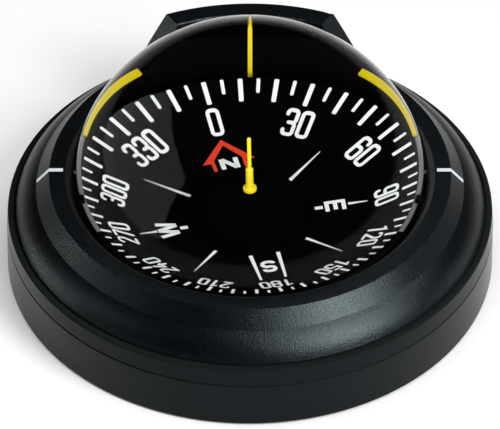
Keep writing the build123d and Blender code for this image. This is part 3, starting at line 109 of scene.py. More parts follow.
class Graph:
    """Short calls for building a node tree."""

    def __init__(self, tree: bpy.types.NodeTree) -> None:
        """Takes over a tree and empties it.

        Args:
            tree: the shader or geometry tree to fill.
        """
        self.tree = tree
        tree.nodes.clear()

    def node(self, kind: str, inputs: dict | None = None, **settings: object) -> bpy.types.Node:
        """Adds one node.

        Args:
            kind: Blender's name for the node type.
            inputs: values or sockets by input name or number.
            settings: plain properties of the node.

        Returns:
            The new node.
        """
        made = self.tree.nodes.new(kind)
        for name, value in settings.items():
            setattr(made, name, value)
        for name, value in (inputs or {}).items():
            self.feed(made.inputs[name], value)
        return made

    def feed(self, socket: bpy.types.NodeSocket, value: object) -> None:
        """Links a socket into an input, or sets the input's own value.

        Args:
            socket: the input.
            value: an output socket, a number, a vector or a colour.
        """
        if isinstance(value, bpy.types.NodeSocket):
            self.tree.links.new(value, socket)
        elif isinstance(value, tuple) and len(value) == 3 and socket.type == "RGBA":
            socket.default_value = (*value, 1.0)
        else:
            socket.default_value = value

    def math(self, operation: str, *values: object, clamp: bool = False) -> bpy.types.NodeSocket:
        """Adds a Math node.

        Args:
            operation: the sum to do.
            values: its inputs in order.
            clamp: keeps the result between 0 and 1.

        Returns:
            The node's output.
        """
        made = self.node("ShaderNodeMath", dict(enumerate(values)), operation=operation, use_clamp=clamp)
        return made.outputs[0]

    def times(self, value: object, factor: object) -> bpy.types.NodeSocket:
        """A value times a factor."""
        return self.math("MULTIPLY", value, factor)

    def mix(self, share: object, first: object, second: object, kind: str = "MIX") -> bpy.types.NodeSocket:
        """Mixes two colours.

        Args:
            share: how much of the second to take.
            first: the first colour.
            second: the second colour.
            kind: the way of mixing.

        Returns:
            The mixed colour.
        """
        made = self.node("ShaderNodeMix", data_type="RGBA", blend_type=kind)
        for at, value in ((0, share), (6, first), (7, second)):
            self.feed(made.inputs[at], value)
        return made.outputs[2]

    def remap(
        self, value: object, low: float, high: float, to_low: object = 0.0, to_high: object = 1.0
    ) -> bpy.types.NodeSocket:
        """Maps a value from one range to another, clamped.

        Args:
            value: the value.
            low: start of its range.
            high: end of its range.
            to_low: result at the start.
            to_high: result at the end.

        Returns:
            The mapped value.
        """
        made = self.node("ShaderNodeMapRange", {0: value, 1: low, 2: high, 3: to_low, 4: to_high})
        return made.outputs[0]

    def noise(self, where: object, scale: object, detail: float) -> bpy.types.NodeSocket:
        """Adds a noise.

        Args:
            where: the coordinates.
            scale: cells per metre.
            detail: octaves.

        Returns:
            The noise's value.
        """
        made = self.node("ShaderNodeTexNoise", {"Vector": where, "Scale": scale, "Detail": detail})
        return made.outputs[0]

    def on_piece(self) -> bpy.types.NodeSocket:
        """The piece's own coordinates, in metres."""
        return self.node("ShaderNodeTexCoord").outputs["Object"]

    def normal(self) -> bpy.types.NodeSocket:
        """The surface's normal."""
        return self.node("ShaderNodeNewGeometry").outputs["Normal"]

    def upright(self, vector: bpy.types.NodeSocket) -> bpy.types.NodeSocket:
        """The upright part of a vector."""
        return self.node("ShaderNodeSeparateXYZ", {0: vector}).outputs[2]


class ShaderLibrary:
    """The effects that several finishes share, each a node group built once."""

    # Scales of noise count cells per metre, or against the group's own cells.
    NOISE_MIDDLE = (0.3, 0.7)
    WALL_TO_TOP = (0.05, 0.35)
    FINE_DETAIL = 3.0
    FINE_SHARE = 0.7
    PIT_SCALE = 1.3
    PIT_SHARE = 0.5
    FLECK_SCALE = 0.8
    FLECK_DETAIL = 1.0
    FLECK_RANGE = (0.62, 0.74)
    TONE_DETAIL = 4.0
    EDGE_COSINES = (0.995, 0.9)
    EDGE_SAMPLES = 4
    WEAR_SCALE = 260.0
    WEAR_DETAIL = 4.0
    WEAR_RANGE = (0.35, 0.65)
    LINE_SCALE = 12.0
    LINE_SHADES = (0.86, 1.06)
    DUST_SCALE = 900.0
    DUST_DETAIL = 5.0
    DUST_RANGE = (0.45, 0.75)
    DUST_SLOPE = (0.5, 1.0)
    JOINT_BLUR = 0.05

    def __init__(self) -> None:
        """Builds every group."""
        self.grain = self._grain()
        self.tone = self._tone()
        self.rub = self._rub()
        self.turning = self._turning()
        self.dust = self._dust()
        self.joint = self._joint()

    @staticmethod
    def _open(
        name: str, sizes: dict[str, float], results: tuple[str, ...]
    ) -> tuple[bpy.types.NodeTree, Graph, Sockets, Sockets]:
        """Starts a group.

        Args:
            name: the group's name.
            sizes: its inputs and their usual values.
            results: its outputs.

        Returns:
            The group's tree, its graph, the sockets that it is given and those that it puts out.
        """
        tree = bpy.data.node_groups.new(name, "ShaderNodeTree")
        graph = Graph(tree)
        for label, value in sizes.items():
            socket = tree.interface.new_socket(label, in_out="INPUT", socket_type="NodeSocketFloat")
            socket.default_value = value
        for label in results:
            tree.interface.new_socket(label, in_out="OUTPUT", socket_type="NodeSocketFloat")
        return tree, graph, graph.node("NodeGroupInput").outputs, graph.node("NodeGroupOutput").inputs

    def _grain(self) -> bpy.types.NodeTree:
        """Spark-eroded grain: small pits and a mask of scattered specks, stronger on faces that look up.

        Returns:
            The group, with the grain's height and a mask of its flecks.
        """
        sizes = {"Size": 0.4, "Depth": 1.0, "Wall Depth": 0.4}
        tree, g, given, out = self._open("spark_grain", sizes, ("Height", "Fleck"))
        where = g.on_piece()
        cells = g.math("DIVIDE", 1.0 / MM, given["Size"])
        fine = g.noise(where, cells, self.FINE_DETAIL)
        pit_cells = g.times(cells, self.PIT_SCALE)
        pits = g.node("ShaderNodeTexVoronoi", {"Vector": where, "Scale": pit_cells}).outputs["Distance"]
        level = g.math("ABSOLUTE", g.upright(g.normal()))
        facing = g.remap(level, *self.WALL_TO_TOP, given["Wall Depth"], given["Depth"])
        fine_part = g.times(fine, self.FINE_SHARE)
        height = g.math("ADD", fine_part, g.times(pits, self.PIT_SHARE))
        g.feed(out["Height"], g.times(height, facing))
        specks = g.noise(where, g.times(cells, self.FLECK_SCALE), self.FLECK_DETAIL)
        g.feed(out["Fleck"], g.times(g.remap(specks, *self.FLECK_RANGE), facing))
        return tree

    def _tone(self) -> bpy.types.NodeTree:
        """Slow drift in tone, as handling and moulding leave.

        Returns:
            The group, with a value that drifts between its low and high.
        """
        sizes = {"Size": 20.0, "Low": 0.9, "High": 1.1}
        tree, g, given, out = self._open("slow_tone", sizes, ("Value",))
        slow = g.noise(g.on_piece(), g.math("DIVIDE", 1.0 / MM, given["Size"]), self.TONE_DETAIL)
        g.feed(out["Value"], g.remap(slow, *self.NOISE_MIDDLE, given["Low"], given["High"]))
        return tree

    def _rub(self) -> bpy.types.NodeTree:
        """Rubbed edges: where a rounded normal leaves the true one, broken up.

        Returns:
            The group, with a mask of the rubbed edges.
        """
        tree, g, given, out = self._open("rubbed_edge", {"Width": 0.5, "Breaks": 0.5}, ("Mask",))
        true = g.normal()
        width = g.times(given["Width"], MM)
        soft = g.node("ShaderNodeBevel", {"Radius": width}, samples=self.EDGE_SAMPLES).outputs[0]
        turned = g.node("ShaderNodeVectorMath", {0: true, 1: soft}, operation="DOT_PRODUCT")
        edge = g.remap(turned.outputs["Value"], *self.EDGE_COSINES)
        wear = g.noise(g.on_piece(), self.WEAR_SCALE, self.WEAR_DETAIL)
        broken = g.remap(wear, *self.WEAR_RANGE, given["Breaks"], 1.0)
        g.feed(out["Mask"], g.math("MULTIPLY", edge, broken, clamp=True))
        return tree

    def _turning(self) -> bpy.types.NodeTree:
        """Fine uneven lines, as a tool or brush leaves on metal.

        Returns:
            The group, with the lines' height and their shade.
        """
        tree, g, given, out = self._open("tool_lines", {"Pitch": 0.25, "Stretch": 12.0}, ("Height", "Shade"))
        where = g.on_piece()
        thin = g.node("ShaderNodeCombineXYZ", {0: 1.0, 1: 1.0, 2: given["Stretch"]}).outputs[0]
        drawn = g.node("ShaderNodeVectorMath", {0: where, 1: thin}, operation="MULTIPLY").outputs[0]
        cells = g.math("DIVIDE", 1.0 / MM, g.times(given["Pitch"], self.LINE_SCALE))
        lines = g.noise(drawn, cells, self.FINE_DETAIL)
        g.feed(out["Height"], lines)
        g.feed(out["Shade"], g.remap(lines, *self.NOISE_MIDDLE, *self.LINE_SHADES))
        return tree

    def _dust(self) -> bpy.types.NodeTree:
        """A thin film of dust on faces that look up.

        Returns:
            The group, with a mask of the dust.
        """
        tree, g, given, out = self._open("dust_film", {"Amount": 0.05}, ("Mask",))
        up = g.upright(g.normal())
        specks = g.noise(g.on_piece(), self.DUST_SCALE, self.DUST_DETAIL)
        lying = g.times(g.remap(up, *self.DUST_SLOPE), g.remap(specks, *self.DUST_RANGE))
        g.feed(out["Mask"], g.math("MULTIPLY", lying, given["Amount"], clamp=True))
        return tree

    def _joint(self) -> bpy.types.NodeTree:
        """Painted shade along a level joint line, which also dulls the gloss there.

        Returns:
            The group, with a mask of the line.
        """
        tree, g, given, out = self._open("joint_painted_shade", {"Height": 0.0, "Half Width": 0.4}, ("Mask",))
        high = g.math("DIVIDE", g.upright(g.on_piece()), MM)
        away = g.math("ABSOLUTE", g.math("SUBTRACT", high, given["Height"]))
        inside = g.math("SUBTRACT", given["Half Width"], away)
        g.feed(out["Mask"], g.remap(inside, -self.JOINT_BLUR, self.JOINT_BLUR))
        return tree


# --- finishes ----------------------------------------------------------------


@dataclass(frozen=True)
class Coat:
    """A material in the making: its graph, its Principled node and the shared groups."""

    graph: Graph
    shader: bpy.types.Node
    library: ShaderLibrary

    def feed(self, name: str, value: object) -> None:
        """Feeds one input of the Principled node."""
        self.graph.feed(self.shader.inputs[name], value)

    def group(self, tree: bpy.types.NodeTree, **sizes: float) -> Sockets:
        """Places a shared group.

        Args:
            tree: the group.
            sizes: its inputs, with _ for a space.

        Returns:
            The sockets that it puts out.
        """
        made = self.graph.node("ShaderNodeGroup", node_tree=tree)
        for name, value in sizes.items():
            made.inputs[name.replace("_", " ")].default_value = value
        return made.outputs

    def times(self, value: object, factor: object) -> bpy.types.NodeSocket:
        """A value times a factor."""
        return self.graph.times(value, factor)

    def shaded(self, colour: object, tone: object) -> bpy.types.NodeSocket:
        """A colour times a tone."""
        return self.graph.mix(1.0, colour, tone, "MULTIPLY")

    def emboss(self, height: bpy.types.NodeSocket, strength: float, depth: float) -> None:
        """Feeds the shader's normal from a relief.

        Args:
            height: the relief.
            strength: how much of it shows.
            depth: its depth in mm.
        """
        relief = {"Strength": strength, "Distance": depth * MM, "Height": height}
        self.feed("Normal", self.graph.node("ShaderNodeBump", relief).outputs[0])


@dataclass(frozen=True)
class Finish:
    """A solid finish of one colour with drift, grain, painted glints, rubbed edges, dust and joint lines in
    painted shade.
    """

    name: str
    colour: Colour
    roughness: float = 0.5
    drift: float = 0.12
    grain: float = 0.15
    wall_grain: float = 0.4
    grain_size: float = 0.4
    fleck: float = 0.0
    rub: float = 0.0
    rub_width: float = 0.5
    rub_colour: Colour = (0.12, 0.12, 0.12)
    dust: float = 0.0
    joints: tuple[tuple[float, float], ...] = ()
    level: float = 0.5
    tint: Colour = (1.0, 1.0, 1.0)
    metallic: float = 0.0
    index: float = 1.5
    tone_size: float = 22.0
    relief: float = 0.5
    relief_gloss: float = 0.25
    relief_middle: float = 0.35
    fleck_colour: Colour = (0.3, 0.32, 0.33)
    rub_breaks: float = 0.35
    rub_gloss: float = 0.15
    dust_colour: Colour = (0.45, 0.44, 0.42)
    dust_dulling: float = 0.3
    # Colour and roughness of the painted shade along joint lines.
    grime_colour: Colour = (0.0004, 0.0004, 0.0004)
    grime_roughness: float = 0.95

    def material(self, library: ShaderLibrary) -> bpy.types.Material:
        """Builds the material.

        Args:
            library: the shared node groups.

        Returns:
            The finished material.
        """
        made = bpy.data.materials.new(self.name)
        made.use_nodes = True
        graph = Graph(made.node_tree)
        plain = {"IOR": self.index, "Specular IOR Level": self.level, "Metallic": self.metallic}
        coat = Coat(graph, graph.node("ShaderNodeBsdfPrincipled", plain), library)
        coat.feed("Specular Tint", self.tint)
        self.dress(coat)
        graph.node("ShaderNodeOutputMaterial", {"Surface": self.surface(coat)})
        made.diffuse_color = (*self.colour, 1.0)
        return made

    def surface(self, coat: Coat) -> bpy.types.NodeSocket:
        """What goes to the material's output."""
        return coat.shader.outputs[0]

    def tone(self, coat: Coat, low: float, high: float) -> bpy.types.NodeSocket:
        """A factor that drifts slowly between two values."""
        return coat.group(coat.library.tone, Size=self.tone_size, Low=low, High=high)[0]

    def dress(self, coat: Coat) -> None:
        """Feeds the shader's colour, roughness and normal.

        Args:
            coat: the material in the making.
        """
        graph, library = coat.graph, coat.library
        tone = self.tone(coat, 1 - self.drift, 1 + self.drift)
        grain = coat.group(library.grain, Size=self.grain_size, Depth=1.0, Wall_Depth=self.wall_grain)
        base = coat.shaded(self.colour, tone)
        # Painted glints: pale specks in the base colour where the grain's specks lie, more on faces that
        # look up.
        if self.fleck:
            base = graph.mix(coat.times(grain["Fleck"], self.fleck), base, self.fleck_colour)
        raised = graph.math("SUBTRACT", grain["Height"], self.relief_middle)
        uneven = coat.times(raised, self.grain * self.relief_gloss)
        rough = graph.math("ADD", coat.times(tone, self.roughness), uneven)
        if self.rub:
            edges = coat.group(library.rub, Width=self.rub_width, Breaks=self.rub_breaks)[0]
            mask = coat.times(edges, self.rub)
            base = graph.mix(mask, base, self.rub_colour)
            rough = graph.math("SUBTRACT", rough, coat.times(mask, self.rub_gloss))
        if self.dust:
            film = coat.group(library.dust, Amount=self.dust)[0]
            base = graph.mix(film, base, self.dust_colour)
            rough = graph.math("ADD", rough, coat.times(film, self.dust_dulling))
        # Painted shade: level joint lines darkened and dulled, so the seam and the groove read as shaded
        # gaps.
        for height, half in self.joints:
            line = coat.group(library.joint, Height=height, Half_Width=half)[0]
            base = graph.mix(line, base, self.grime_colour)
            rough = graph.math("MAXIMUM", rough, coat.times(line, self.grime_roughness))
        coat.feed("Base Color", base)
        coat.feed("Roughness", rough)
        coat.emboss(grain["Height"], self.grain, self.grain_size * self.relief)


@dataclass(frozen=True)
class MetalFinish(Finish):
    """Turned or drawn metal with tool lines."""

    metallic: float = 1.0
    roughness: float = 0.3
    tone_size: float = 6.0
    relief: float = 0.02
    pitch: float = 0.25
    stretch: float = 12.0

    def dress(self, coat: Coat) -> None:
        """Feeds the shader from the tool lines and the slow tone.

        Args:
            coat: the material in the making.
        """
        lines = coat.group(coat.library.turning, Pitch=self.pitch, Stretch=self.stretch)
        tone = self.tone(coat, 1 - self.drift, 1 + self.drift)
        coat.feed("Base Color", coat.shaded(coat.shaded(self.colour, tone), lines["Shade"]))
        coat.feed("Roughness", coat.times(lines["Shade"], self.roughness))
        coat.emboss(lines["Height"], self.grain, self.relief)


@dataclass(frozen=True)
class ClearFinish(Finish):
    """Clear polished body that the lamps shine through."""

    index: float = 1.393
    tone_size: float = 30.0
    colour_rise: float = 1.01
    lamp_pass: Colour = (0.85, 0.86, 0.86)
    bloom: float = 0.8
    bloom_till: tuple[float, float] = (0.72, 0.9)
    passes_light: bool = True

    def dress(self, coat: Coat) -> None:
        """Feeds a faint tint and faint wiping marks.

        Args:
            coat: the material in the making.
        """
        coat.feed("Transmission Weight", 1.0)
        tone = self.tone(coat, 0.0, 1.0)
        paler = tuple(min(1.0, c * self.colour_rise) for c in self.colour)
        coat.feed("Base Color", coat.graph.mix(tone, self.colour, paler))
        coat.feed("Roughness", coat.times(tone, self.roughness))

    def surface(self, coat: Coat) -> bpy.types.NodeSocket:
        """Coats the surface against glare and lets lamp light straight through to what lies inside.

        Args:
            coat: the material in the making.

        Returns:
            The mixed shader.
        """
        glass = coat.shader.outputs[0]
        if not self.passes_light:
            return glass
        graph = coat.graph
        path = graph.node("ShaderNodeLightPath").outputs
        lit = graph.math("MAXIMUM", path["Is Shadow Ray"], path["Is Diffuse Ray"])
        clear = graph.node("ShaderNodeBsdfTransparent", {0: self.lamp_pass}).outputs[0]
        dull = graph.node("ShaderNodeBsdfRefraction", {"Roughness": 0.0, "IOR": self.index}).outputs[0]
        slant = graph.node("ShaderNodeLayerWeight", {"Blend": 0.5}).outputs["Facing"]
        share = graph.remap(slant, *self.bloom_till, self.bloom, 0.0)
        coated = graph.node("ShaderNodeMixShader", {0: share, 1: glass, 2: dull}).outputs[0]
        return graph.node("ShaderNodeMixShader", {0: lit, 1: coated, 2: clear}).outputs[0]


@dataclass(frozen=True)
class InkFinish(Finish):
    """Screen-printed ink with a little unevenness in its film."""

    grain_size: float = 0.22
    tone_size: float = 9.0
    relief: float = 0.02
    thinnest: float = 0.97
    cover: float = 0.08
    shade: float = 0.6

    def dress(self, coat: Coat) -> None:
        """Feeds the ink's colour, thinned in tiny spots.

        Args:
            coat: the material in the making.
        """
        grain = coat.group(coat.library.grain, Size=self.grain_size, Depth=1.0, Wall_Depth=1.0)
        tone = self.tone(coat, self.thinnest, 1.0)
        thin = coat.times(grain["Fleck"], self.cover)
        darker = tuple(c * self.shade for c in self.colour)
        coat.feed("Base Color", coat.graph.mix(thin, coat.shaded(self.colour, tone), darker))
        coat.feed("Roughness", coat.times(tone, self.roughness))
        coat.emboss(grain["Height"], self.grain, self.relief)


@dataclass(frozen=True)
class BoardFinish(Finish):
    """Circuit board with tracks and pads."""

    tone_size: float = 4.0
    tones: tuple[float, float] = (0.85, 1.1)
    track: Colour = (0.45, 0.33, 0.12)
    track_cells: float = 420.0
    track_width: float = 0.03
    track_edge: tuple[float, float] = (0.2, 0.8)

    def dress(self, coat: Coat) -> None:
        """Feeds lacquer with tracks showing through.

        Args:
            coat: the material in the making.
        """
        graph = coat.graph
        layout = {"Vector": graph.on_piece(), "Scale": self.track_cells, "Mortar Size": self.track_width}
        track = graph.remap(graph.node("ShaderNodeTexBrick", layout).outputs["Fac"], *self.track_edge)
        tone = self.tone(coat, *self.tones)
        coat.feed("Base Color", graph.mix(track, coat.shaded(self.colour, tone), self.track))
        coat.feed("Roughness", coat.times(tone, self.roughness))


class Slot(Enum):
    """The record's material slots and the finish that each takes."""

    # The casing paints glints as pale specks, and paints shade into its seam at 17.5 and its groove at
    # 24.05.
    casing_black = Finish(
        "casing_moulded_black", (0.0006, 0.0008, 0.0011), 0.26, grain=0.45, wall_grain=0.3, grain_size=0.6,
        fleck=0.006, rub=0.2, rub_width=0.4, rub_colour=(0.008, 0.009, 0.010), dust=0.0008,
        joints=((17.5, 0.45), (24.05, 0.3)), level=0.13, tint=(0.78, 0.96, 1.0),
    )
    seal_rubber = Finish(
        "seal_rubber_black", (0.004, 0.004, 0.0045), 0.6, grain=0.2, grain_size=0.3, level=0.3,
    )
    dome_clear = ClearFinish("clear_acrylic", (0.985, 0.99, 0.99), 0.006)
    inner_black = Finish(
        "inner_matt_black", (0.0010, 0.0010, 0.0012), 0.62, grain=0.25, grain_size=0.5, level=0.02,
    )
    stainless = MetalFinish("stainless_steel", (0.56, 0.56, 0.57), roughness=0.28, grain=0.3)
    brass = MetalFinish("turned_brass", (0.72, 0.5, 0.2), roughness=0.3, grain=0.3)
    lens_red = ClearFinish("red_window", (0.5, 0.03, 0.025), 0.25, index=1.49, passes_light=False)
    board_green = BoardFinish("lamp_board", (0.02, 0.12, 0.045), 0.35)
    led_red = Finish("red_lamp_body", (0.5, 0.03, 0.02), 0.2, grain=0.1, grain_size=0.2)
    lead_sheath = Finish("lead_sheath", (0.012, 0.012, 0.013), 0.5, grain=0.25, grain_size=0.3)
    weight_metal = MetalFinish(
        "cast_weight", (0.22, 0.22, 0.23), roughness=0.55, grain=0.6, pitch=0.6, stretch=1.0,
    )
    marker_yellow = Finish(
        "yellow_marker", (0.93, 0.72, 0.018), 0.42, drift=0.03, grain=0.12, grain_size=0.25,
        rub=0.1, rub_colour=(0.7, 0.5, 0.02),
    )
    dial_black = Finish(
        "dial_black", (0.0010, 0.0011, 0.0014), 0.7, grain=0.05, grain_size=0.15, level=0.0,
    )
    jewel = Finish("jewel", (0.35, 0.02, 0.05), 0.08, grain=0.05, grain_size=0.2)
    float_foam = Finish("float_foam", (0.03, 0.03, 0.032), 0.8, grain=0.9, grain_size=0.5, wall_grain=1.0)
    magnet_steel = MetalFinish("magnet_steel", (0.3, 0.3, 0.32), roughness=0.35, grain=0.3)
    bellows_metal = MetalFinish("bellows_metal", (0.6, 0.5, 0.28), roughness=0.32, grain=0.3)


@dataclass(frozen=True)
class Inks:
    """The print's inks, the lubber ring's arcs in a darker yellow that is painted shade, its bands, and the
    cradle's black.
    """

    white: InkFinish = InkFinish("white_ink", (0.9, 0.91, 0.9), 0.5, grain=0.2)
    red: InkFinish = InkFinish("red_ink", (0.8, 0.045, 0.018), 0.5, grain=0.2)
    mark: InkFinish = InkFinish("white_mark", (0.72, 0.78, 0.8), 0.45, grain=0.3)
    # Painted shade: the arcs take the post's yellow darkened, as they stand in low light.
    arcs: Finish = Finish("lubber_arc_yellow_painted_shade", (0.64, 0.5, 0.004), 0.5, grain=0.2, level=0.03)
    band: Finish = Finish("lubber_band_grey", (0.15, 0.145, 0.14), 0.55, grain=0.2, level=0.03)
    cradle: Finish = Finish(
        "cradle_satin", (0.0010, 0.0010, 0.0010), 0.5, grain=0.15, grain_size=0.4, level=0.02,
    )


class Workshop:
    """Materials by finish, each made once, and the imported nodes."""

    def __init__(self, loaded: dict) -> None:
        """Keeps the frame and builds the shader library.
        """
        self.nodes: dict[str, bpy.types.Object] = loaded["nodes"]
        self.library = ShaderLibrary()
        self.inks = Inks()
        self.made: dict[str, bpy.types.Material] = {}

    def paint(self, finish: Finish) -> bpy.types.Material:
        """Gives the material of a finish, made on first use.

        Args:
            finish: the finish.

        Returns:
            Its material.
        """
        if finish.name not in self.made:
            self.made[finish.name] = finish.material(self.library)
        return self.made[finish.name]

    def dress(self, finish: Finish, *names: str) -> None:
        """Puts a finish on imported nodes.

        Args:
            finish: the finish.
            names: the nodes.
        """
        for name in names:
            data = self.nodes[name].data
            data.materials.clear()
            data.materials.append(self.paint(finish))
            LOG.info("dressed %s in %s", name, finish.name)

    def place(
        self, mesh: bpy.types.Mesh, name: str, body: str, slot: Slot, finish: Finish | None = None
    ) -> bpy.types.Object:
        """Makes a finished mesh a piece of the object.

        Args:
            mesh: the mesh, in place.
            name: the piece's name.
            body: the body it rides on.
            slot: the record's slot; not used.
            finish: its finish, where the mesh has none yet.

        Returns:
            The piece.
        """
        piece = bpy.data.objects.new(name, mesh)
        bpy.context.scene.collection.objects.link(piece)
        if finish:
            mesh.materials.clear()
            mesh.materials.append(self.paint(finish))
        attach(piece, body)
        LOG.info("built %s: %d faces on %s", name, len(mesh.polygons), body)
        return piece


# --- geometry trees ----------------------------------------------------------


class GeometryTree:
    """A geometry tree with named inputs, run once on a mesh and turned into a plain mesh."""

    def __init__(self, name: str, sizes: dict[str, tuple[str, object]]) -> None:
        """Opens the tree.

        Args:
            name: the tree's name.
            sizes: socket type and value of each input.
        """
        self.tree = bpy.data.node_groups.new(name, "GeometryNodeTree")
        self.graph = Graph(self.tree)
        self.tree.interface.new_socket("Geometry", in_out="INPUT", socket_type="NodeSocketGeometry")
        self.values = {}
        for label, (kind, value) in sizes.items():
            socket = self.tree.interface.new_socket(label, in_out="INPUT", socket_type=kind)
            self.values[socket.identifier] = value
        self.tree.interface.new_socket("Geometry", in_out="OUTPUT", socket_type="NodeSocketGeometry")
        self.given = self.graph.node("NodeGroupInput")

    def close(self, geometry: bpy.types.NodeSocket) -> None:
        """Ends the tree in Realize Instances and Set Material.

        Args:
            geometry: what the tree has made.
        """
        real = self.graph.node("GeometryNodeRealizeInstances", {0: geometry}).outputs[0]
        material = self.given.outputs["Material"]
        painted = self.graph.node("GeometryNodeSetMaterial", {"Geometry": real, "Material": material})
        self.graph.node("NodeGroupOutput", {0: painted.outputs[0]})

    def run(self, start: bpy.types.Mesh, name: str) -> bpy.types.Mesh:
        """Runs the tree on a mesh.

        Args:
            start: the mesh it starts from.
            name: the result's name.

        Returns:
            A plain mesh.
        """
        holder = bpy.data.objects.new(name + "_start", start)
        bpy.context.scene.collection.objects.link(holder)
        modifier = holder.modifiers.new("build", "NODES")
        modifier.node_group = self.tree
        for identifier, value in self.values.items():
            modifier[identifier] = value
        graph = bpy.context.evaluated_depsgraph_get()
        graph.update()
        mesh = bpy.data.meshes.new_from_object(holder.evaluated_get(graph), depsgraph=graph)
        mesh.name = name
        holder.modifiers.remove(modifier)
        bpy.data.objects.remove(holder)
        return mesh


def tidy_shell(mesh: bpy.types.Mesh, crease: float = 35.0, weld: float = 1e-7) -> None:
    """Closes a shell, turns it outwards and smooths it between creases.

    Args:
        mesh: the shell.
        crease: angle in degrees past which an edge stays sharp.
        weld: distance in metres within which points become one.
    """
    shell = bmesh.new()
    shell.from_mesh(mesh)
    bmesh.ops.remove_doubles(shell, verts=shell.verts, dist=weld)
    bmesh.ops.recalc_face_normals(shell, faces=shell.faces)
    shell.to_mesh(mesh)
    shell.free()
    mesh.shade_smooth()
    mesh.set_sharp_from_angle(angle=math.radians(crease))


def lathe(
    profile: list[Flat], segments: int, name: str, material: bpy.types.Material, weld: float = 0.002
) -> bpy.types.Mesh:
    """Turns a profile of radius and height about the upright axis.

    Args:
        profile: radius and height in mm, from the lower axis to the upper axis.
        segments: steps round.
        name: the mesh's name.
        material: its material.
        weld: distance in mm within which the seam and the poles close.

    Returns:
        The closed mesh.
    """
    line = bpy.data.meshes.new(name + "_profile")
    spans = [(i, i + 1) for i in range(len(profile) - 1)]
    line.from_pydata([(r * MM, 0.0, z * MM) for r, z in profile], spans, [])
    sizes = {"Steps": ("NodeSocketInt", segments), "Material": ("NodeSocketMaterial", material)}
    built = GeometryTree(name + "_lathe", sizes)
    g, given = built.graph, built.given.outputs
    size = g.node("GeometryNodeAttributeDomainSize", {0: given["Geometry"]}, component="MESH")
    columns = g.math("ADD", given["Steps"], 1)
    grid = {"Vertices X": size.outputs["Point Count"], "Vertices Y": columns}
    sheet = g.node("GeometryNodeMeshGrid", grid).outputs[0]
    index = g.node("GeometryNodeInputIndex").outputs[0]
    row = g.math("FLOOR", g.math("DIVIDE", g.math("ADD", index, 0.5), columns))
    column = g.math("SUBTRACT", index, g.times(row, columns))
    turn = g.times(column, g.math("DIVIDE", math.tau, given["Steps"]))
    picked = g.node("GeometryNodeSampleIndex", data_type="FLOAT_VECTOR", domain="POINT")
    g.feed(picked.inputs["Geometry"], given["Geometry"])
    g.feed(picked.inputs["Value"], g.node("GeometryNodeInputPosition").outputs[0])
    g.feed(picked.inputs["Index"], row)
    swing = {"Vector": picked.outputs[0], "Angle": turn}
    swung = g.node("ShaderNodeVectorRotate", swing, rotation_type="Z_AXIS").outputs[0]
    moved = g.node("GeometryNodeSetPosition", {"Geometry": sheet, "Position": swung}).outputs[0]
    merged = g.node("GeometryNodeMergeByDistance", {"Geometry": moved, "Distance": weld * MM})
    built.close(merged.outputs[0])
    mesh = built.run(line, name)
    tidy_shell(mesh)
    return mesh


def spread(start: float, end: float, steps: int) -> list[float]:
    """Angles spaced evenly between two, in radians.

    Args:
        start: first angle in degrees.
        end: last angle in degrees.
        steps: spans between them.

    Returns:
        The angles from start to end.
    """
    return [math.radians(start + (end - start) * i / steps) for i in range(steps + 1)]


def arc(centre: Flat, radius: float, start: float, end: float, steps: int = 6) -> list[Flat]:
    """Points of an arc.

    Args:
        centre: its centre.
        radius: its radius.
        start: first angle in degrees.
        end: last angle in degrees.
        steps: spans between points.

    Returns:
        The points from start to end.
    """
    x, y = centre
    return [(x + radius * math.cos(t), y + radius * math.sin(t)) for t in spread(start, end, steps)]


